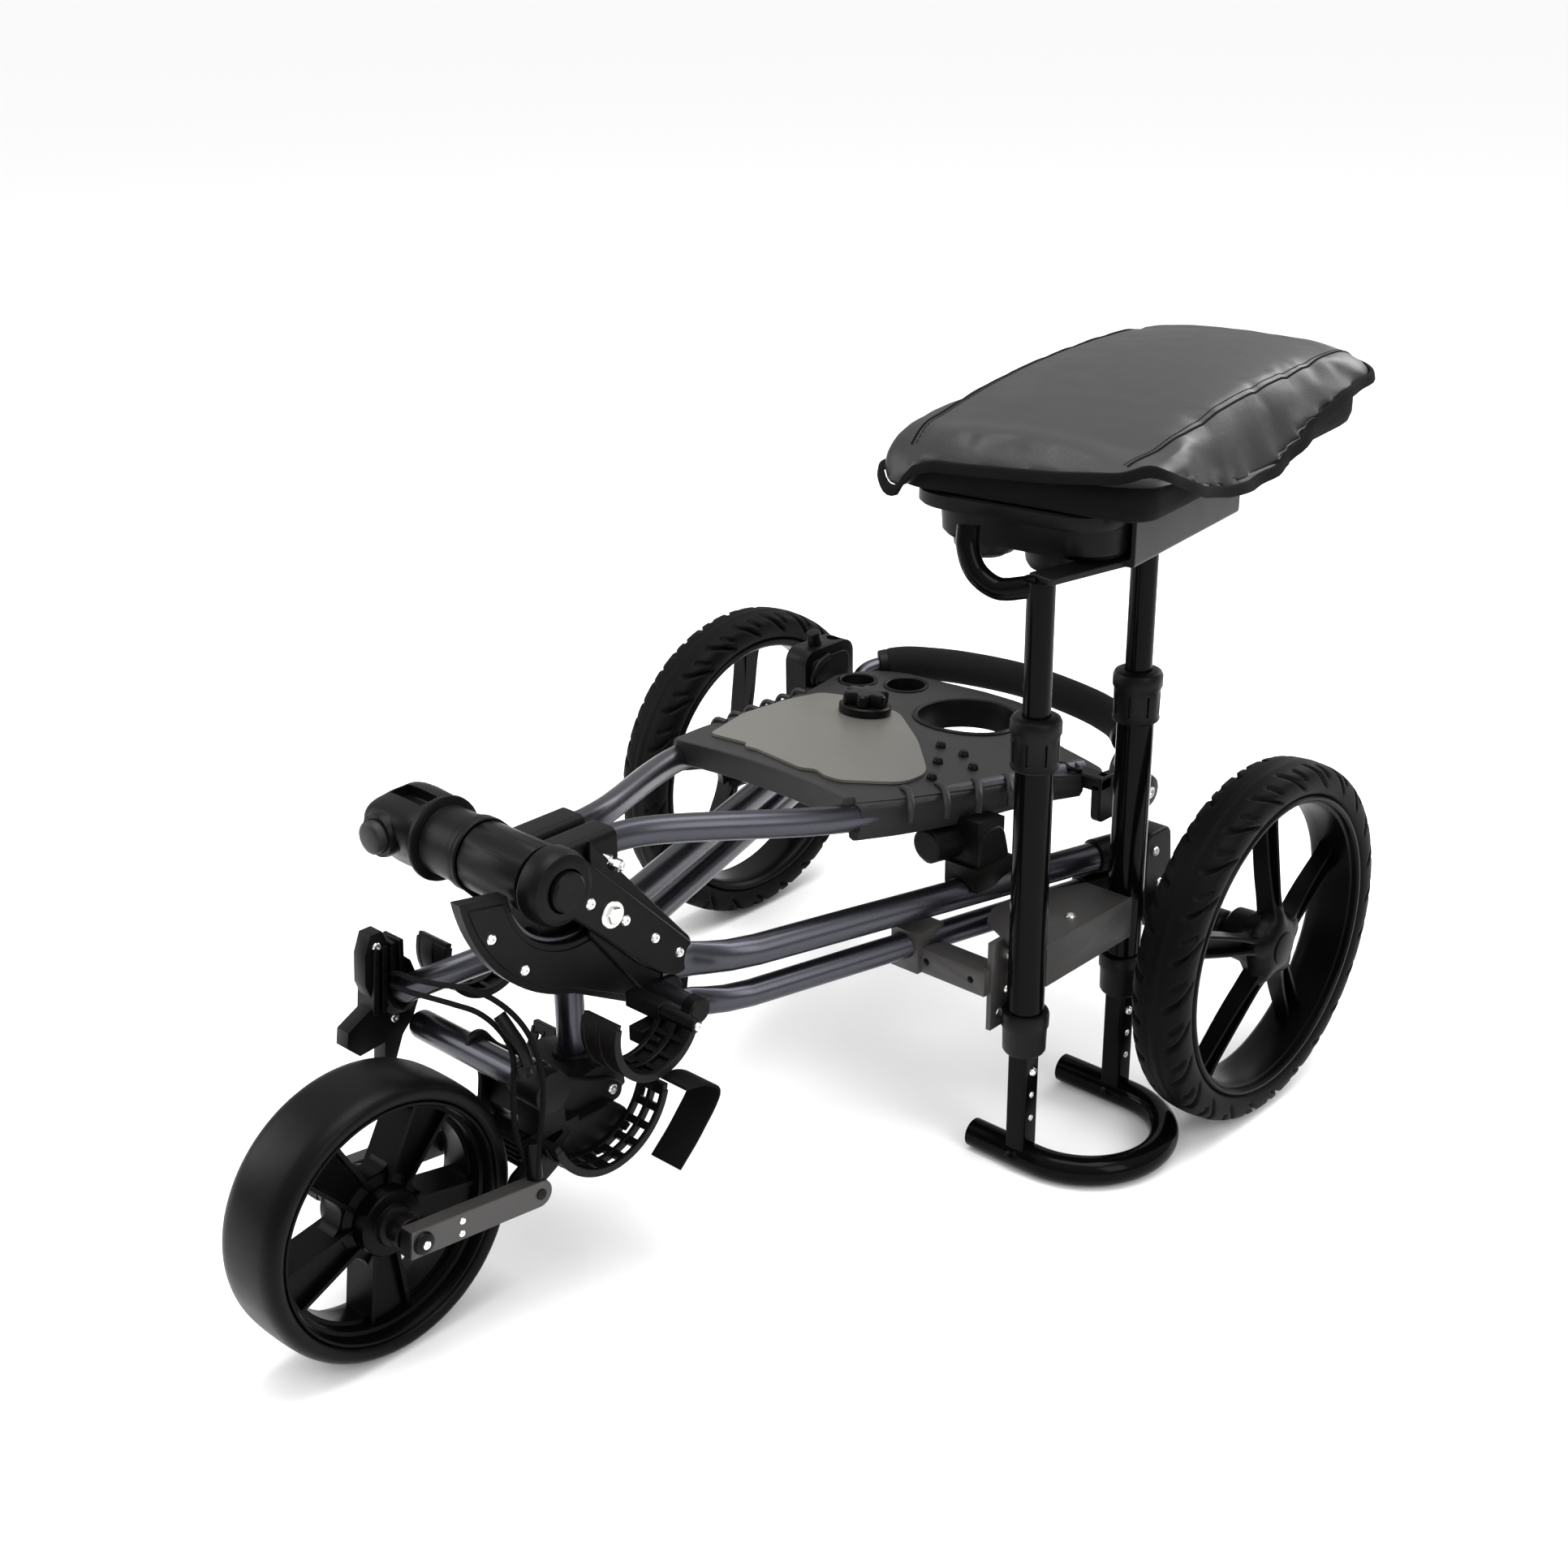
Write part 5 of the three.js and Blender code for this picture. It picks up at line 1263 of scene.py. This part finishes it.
def seat_tray():
    def ring_box(low_p, low_q, high_p, high_q, corner, z):
        corners = [(low_p, low_q), (high_p, low_q), (high_p, high_q), (low_p, high_q)]
        return [(p, q, z) for p, q in rounded(corners, corner, 12)]

    outer = [
        ring_box(-70, -174, 60, 144, 30, 474), ring_box(-73, -177, 63, 147, 32, 475),
        ring_box(-76, -180, 66, 150, 34, 479), ring_box(-77, -181, 67, 151, 35, 497),
        ring_box(-90, -189, 67.6, 166, 39, 498.4), ring_box(-92, -190, 68, 168, 40, 500),
        ring_box(-92, -190, 68, 168, 40, 508.6), ring_box(-91, -189, 67.4, 167, 40, 510),
        ring_box(-86, -184, 66, 162, 36, 510), ring_box(-84, -182, 65, 160, 36, 507),
        ring_box(-72, -176, 62, 146, 30, 503), ring_box(-72, -176, 62, 146, 30, 478),
    ]
    pan = rings_to_shape(outer)
    hook_room = rod((140, -203, 530), (141, -205, 466), 8.6)
    hook_room.transform(ON_SEAT.inverted())
    stand_in("seat_tray", moved(boolean(pan, [hook_room]), ON_SEAT), PLASTIC, "seat", crease=34)
    lobes = []
    for p, q, radius, low in ((-50, -140, 24, 458), (9, -127, 30, 452)):
        profile = [
            (0, low), (radius - 8, low), (radius - 3, low + 2), (radius - 0.6, low + 6), (radius, low + 10),
            (radius, 476), (0, 476),
        ]
        lobes.append(revolve(profile, (p, q, 0), (0, 0, 1), 72))
        inner = radius * 0.6
        boss = [(0, low - 1.6), (inner, low - 1.6), (inner + 1, low + 1), (0, low + 1)]
        lobes.append(revolve(boss, (p, q, 0), (0, 0, 1), 48))
    rib = rounded([(-56, 474.5), (48, 474.5), (44, 469), (-52, 469)], 3)
    lobes += [slab(rib, q - 2.2, q + 2.2, "XZ") for q in (-60, -15, 30, 75, 120)]
    place("seat_tray_lobes", moved(merged(*lobes), ON_SEAT), PLASTIC, "seat", crease=34)
    spots = ((-58, -90), (48, 40), (-58, 100), (-10, 136))
    heads = [screw((p, q, 474), (0, 0, -1), 4, 2.2) for p, q in spots]
    place("seat_tray_screws", moved(merged(*heads), ON_SEAT), ZINC, "seat")


def seat_posts():
    for place_name, y in POST_Y.items():
        inner = [(0, 262), (10, 262), (10, 467), (13, 468.4), (0, 468.4)]
        post = revolve(inner, (POST_X, y, 0), (0, 0, 1), 56)
        place(f"seat_post_{place_name}", post, GLOSS, "seat", crease=30)
        outer = [(10.6, 112), (13.8, 112), (13.8, 352), (10.6, 352)]
        sleeve = revolve(outer, (POST_X, y, 0), (0, 0, 1), 64, True)
        name = f"seat_tube_{place_name}"
        stand_in(name, sleeve, GLOSS, "chassis", crease=30)

        top = [
            (10.4, 369), (14.5, 369), (17.2, 367.6), (18.5, 365), (18.5, 357), (17.4, 355), (17, 334),
            (17.6, 331.4), (17, 330), (14, 330), (14, 352.2), (10.4, 352.2),
        ]
        collar = revolve(top, (POST_X, y, 0), (0, 0, 1), 72, True)
        slits = []
        for i in range(8):
            turn = Matrix.Translation((POST_X, y, 0)) @ Matrix.Rotation(i * math.pi / 4 + 0.3, 4, "Z")
            slits.append(moved(slab([(-1, 336), (1, 336), (1, 352), (-1, 352)], 15.6, 19, "XZ"), turn))
        name = f"upper_collar_{place_name}"
        stand_in(name, boolean(collar, slits), PLASTIC, "chassis", crease=32)

        low = [
            (10.8, 102), (15, 102), (16.2, 104), (16.6, 122), (17.8, 124), (18, 133), (17.2, 135.4),
            (15.6, 136), (14, 136), (14, 111.6), (10.8, 111.6),
        ]
        name = f"lower_collar_{place_name}"
        foot = revolve(low, (POST_X, y, 0), (0, 0, 1), 72, True)
        stand_in(name, foot, PLASTIC, "chassis", crease=32)


def seat_channel():
    angle = [(42, 468), (74, 468), (74, 508), (70.4, 508), (70.4, 473), (42, 473)]
    flange = slab(rounded(angle, [1, 3, 1, 1, 4, 1]), -150, 18, "XZ")
    place("seat_channel", moved(flange, ON_SEAT), SATIN, "seat", bevel=0.6, replaces=["seat_frame"])
    strip_from, strip_to = (35, -212), (58, -140)
    direction = (Vector(strip_to) - Vector(strip_from)).normalized()
    across = Vector((-direction.y, direction.x)) * 11
    a, b = Vector(strip_from), Vector(strip_to)
    strip = slab([a - across, b - across, b + across, a + across], 467.5, 472.5, "XY")
    place("seat_strip", moved(strip, ON_SEAT), SATIN, "seat", bevel=1)
    hook = [
        (140, -203, 497), (142, -206, 482), (150, -206, 466), (166, -203, 457), (184, -199, 460),
        (198, -196, 465),
    ]
    place("seat_hook", tube(hook, 8, 36, 10), GLOSS, "seat", crease=60)


def snap_buttons():
    for place_name, y in POST_Y.items():
        name = f"snap_button_{place_name}"
        profile = [(0, 11.5), (1.6, 11.3), (2.9, 10.4), (3.5, 8.8), (3.5, 2), (0, 2)]
        button = revolve(profile, (POST_X, y, 86), (1, 0, 0), 36)
        stand_in(name, button, ZINC, name, crease=50)


def seat_foot():
    front, rear = POST_Y["front"], POST_Y["rear"]
    middle, radius = (front + rear) / 2, (rear - front) / 2
    way_round = [(x, front) for x in (153, 166, 188)] + arc((211, middle), radius, -90, 90, 30)
    way_round += [(x, rear) for x in (188, 164, 147)]
    path = smooth_path([(x, y, 11.4) for x, y in way_round], 3)
    hoop = tube(path, 11.3, 40, straight=True)
    place("seat_foot_hoop", hoop, GLOSS, "seat_foot", crease=60, replaces=["seat_foot"])
    stopper = [(0, 1.2), (8.6, 0.9), (9.6, 0), (9.6, -4), (0, -4)]
    plugs = [revolve(stopper, (x, y, 11.4), (-1, 0, 0), 40) for x, y in ((153, front), (147, rear))]
    place("seat_foot_plugs", merged(*plugs), PLASTIC, "seat_foot", crease=40)
    for place_name, y in POST_Y.items():
        corners = [(POST_X + a * 8.5, y + b * 8.5) for a, b in ((-1, -1), (1, -1), (1, 1), (-1, 1))]
        leg = slab(rounded(corners, 2.4, 6), 14, 185, "XY")
        place(f"seat_leg_{place_name}", leg, GLOSS, "seat_foot", crease=30)
        dots = [screw((POST_X + 8.5, y, z), (1, 0, 0), 2.6, 0.8) for z in (66, 46)]
        weld = revolve([(0, 16), (9, 18), (12.5, 15), (13, 12), (0, 12)], (POST_X, y, 0), (0, 0, 1), 36)
        place(f"seat_leg_rivets_{place_name}", merged(*dots), ZINC, "seat_foot")
        place(f"seat_leg_weld_{place_name}", weld, GLOSS, "seat_foot", crease=60)


def seat_bracket():
    plates = cad_copy("seat_bracket")
    stand_in("seat_bracket", plates, PAINTED, "chassis", bevel=0.9)
    saddle = slab(rounded([(-222, 152), (-196, 152), (-196, 179), (-222, 179)], 6), 91.2, 92.6)
    place("bracket_liner", saddle, PLASTIC, "chassis", bevel=0.5)
    heads = [
        hex_head((179, -194, 176), (1, 0, 0), 4.6, 3.4),
        screw((179, -194, 146), (1, 0, 0), 3.6, 2.2),
        hex_head((105, -224, 164), (0, -1, 0), 5.4, 4),
        screw((196, -140, 191), (0, 0, 1), 4, 2),
    ]
    place("bracket_bolts", merged(*heads), ZINC, "chassis")


# ---- Elastic cord -------------------------------------------------------------------------------------
CORD_ROUTES = {
    "elastic_cord": [
        (-94, -547, 203), (-80, -551, 209), (-60, -555, 214), (-41, -557, 219), (-22, -558, 224),
        (5, -558, 231), (28, -557, 232), (44, -554, 226), (53, -549, 213), (57, -545, 196),
        (58.5, -543, 178), (58, -543, 160), (57, -545, 142), (56, -547.5, 126), (55, -549, 111),
        (54, -549, 98.6),
    ],
    "elastic_cord_inner": [
        (-94, -549, 195), (-76, -555, 201), (-57, -559, 206), (-30, -561, 212), (-4, -562, 217),
        (18, -561, 219), (34, -560, 215), (44, -558, 205), (47, -557, 193), (46, -557, 178),
        (45, -558, 160), (45, -558, 142), (46, -556, 126), (47.5, -552, 111), (48.5, -549, 98.6),
    ],
}
CORD_RADIUS = 2


def elastic_cord(name, route):
    path = [TO_ROW @ point for point in smooth_path(route, 4)]
    line = bpy.data.curves.new(f"{name}_look", "CURVE")
    line.dimensions = "3D"
    line.bevel_depth = CORD_RADIUS / 1000
    line.bevel_resolution = 5
    line.use_fill_caps = True
    spline = line.splines.new("POLY")
    spline.points.add(len(path) - 1)
    for spot, point in zip(spline.points, path):
        spot.co = (*point, 1)
    line.materials.append(WEBBING)
    cord = bpy.data.objects.new(f"{name}_look", line)
    bpy.context.scene.collection.objects.link(cord)
    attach(cord, "chassis")
    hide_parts(name)


def cord_fittings():
    """The slider that grips both strands and the boot over their lower ends."""
    grip = [(38, -559, 224), (46, -557, 214), (52, -553, 201), (54, -551, 190)]
    slider = tube(grip, 5.2, 24, 6, high=3.6)
    ring = [(3.4, -2), (6.4, -2), (6.8, 0), (6.4, 2), (3.4, 2)]
    eye = revolve(ring, (54, -552, 184), (1, -0.4, 0.1), 32, True)
    down = [(52, -549.5, 128), (52, -549.5, 116), (51.5, -549, 104), (51, -548.6, 98.5)]
    boot = tube(down, 5.4, 24, 6, high=4)
    return [
        place("cord_slider", slider, PLASTIC, "chassis", crease=60),
        place("cord_slider_eye", eye, PLASTIC, "chassis", crease=60),
        place("cord_boot", boot, SMOOTH_RUBBER, "chassis", crease=60),
    ]


# ---- Camera, light and floor --------------------------------------------------------------------------
EYE = (1021.71, -1334.71, 916.59)
AZIMUTH, ELEVATION, ROLL = math.radians(43.08), math.radians(23.18), math.radians(-0.67)
LENS = 49.38  # for a sensor 36 mm wide


def camera():
    """Looks down along the buggy from the seat's side, rolled a little."""
    level = math.cos(ELEVATION)
    back = Vector((math.sin(AZIMUTH) * level, -math.cos(AZIMUTH) * level, math.sin(ELEVATION)))
    flat_right = (-back).cross(Vector((0, 0, 1))).normalized()
    flat_up = flat_right.cross(-back)
    right = flat_right * math.cos(ROLL) + flat_up * math.sin(ROLL)
    up = flat_up * math.cos(ROLL) - flat_right * math.sin(ROLL)
    eye = TO_ROW @ Vector(EYE)
    data = bpy.data.cameras.new("camera")
    data.sensor_width = 36
    data.lens = LENS
    data.clip_end = 60
    view = bpy.data.objects.new("camera", data)
    view.matrix_world = Matrix.Translation(eye) @ Matrix((right, up, back)).transposed().to_4x4()
    bpy.context.scene.collection.objects.link(view)
    bpy.context.scene.camera = view


def area_light(name, spot, target, size, power, tall=None):
    data = bpy.data.lights.new(name, "AREA")
    data.shape = "RECTANGLE"
    data.size = size
    data.size_y = tall or size
    data.energy = power
    lamp = bpy.data.objects.new(name, data)
    lamp.location = spot
    lamp.rotation_euler = (Vector(target) - Vector(spot)).to_track_quat("-Z", "Y").to_euler()
    bpy.context.scene.collection.objects.link(lamp)


def studio():
    paper = bpy.data.materials.new("paper")
    paper.use_nodes = True
    shader = paper.node_tree.nodes["Principled BSDF"]
    shader.inputs["Base Color"].default_value = (0.95, 0.95, 0.95, 1)
    shader.inputs["Roughness"].default_value = 0.9
    mesh = bpy.data.meshes.new("floor")
    half = 60
    corners = [(-half, -half, 0), (half, -half, 0), (half, half, 0), (-half, half, 0)]
    mesh.from_pydata(corners, [], [(0, 1, 2, 3)])
    mesh.materials.append(paper)
    floor = bpy.data.objects.new("floor", mesh)
    floor.location.z = -0.0005
    bpy.context.scene.collection.objects.link(floor)
    world = bpy.data.worlds.new("studio")
    world.use_nodes = True
    nodes, links = world.node_tree.nodes, world.node_tree.links
    direction = nodes.new("ShaderNodeSeparateXYZ")
    links.new(nodes.new("ShaderNodeTexCoord").outputs["Generated"], direction.inputs["Vector"])
    height = nodes.new("ShaderNodeMapRange")
    height.inputs["To Min"].default_value = 0.35
    height.inputs["To Max"].default_value = 1.35
    links.new(direction.outputs["Z"], height.inputs["Value"])
    links.new(height.outputs["Result"], nodes["Background"].inputs["Strength"])
    nodes["Background"].inputs["Color"].default_value = (1, 1, 1, 1)
    bpy.context.scene.world = world
    area_light("overhead", (0.2, 0.1, 2.6), (0, 0, 0.2), 1.9, 62)
    area_light("left_bank", (-2.4, -1.6, 1.5), (0, 0, 0.25), 1.4, 34, 1.8)
    area_light("right_bank", (2.4, -0.4, 1.7), (0, 0, 0.3), 1.1, 26, 1.7)
    area_light("back_edge", (0.2, 2.6, 1.5), (0, 0, 0.3), 1.6, 26, 1)
    bpy.context.scene.view_settings.view_transform = "Standard"


camera()
on_the_cord = cord_fittings()
for cord_name, cord_route in CORD_ROUTES.items():
    elastic_cord(cord_name, cord_route)
for side_name, side_sign in SIDES.items():
    rear_tyre(side_name, side_sign)
    rear_rim(side_name, side_sign)
front_wheel()
fork()
lower_frame()
cradles()
main_joint()
fold_yoke()
lock_knob()
legs()
handle_tubes()
console()
thumb_knob()
latch_clip()
umbrella_holder()
grip_bracket()
handle_loop()
seat_seams(seat_cover())
seat_tray()
seat_posts()
seat_channel()
snap_buttons()
seat_foot()
seat_bracket()
studio()
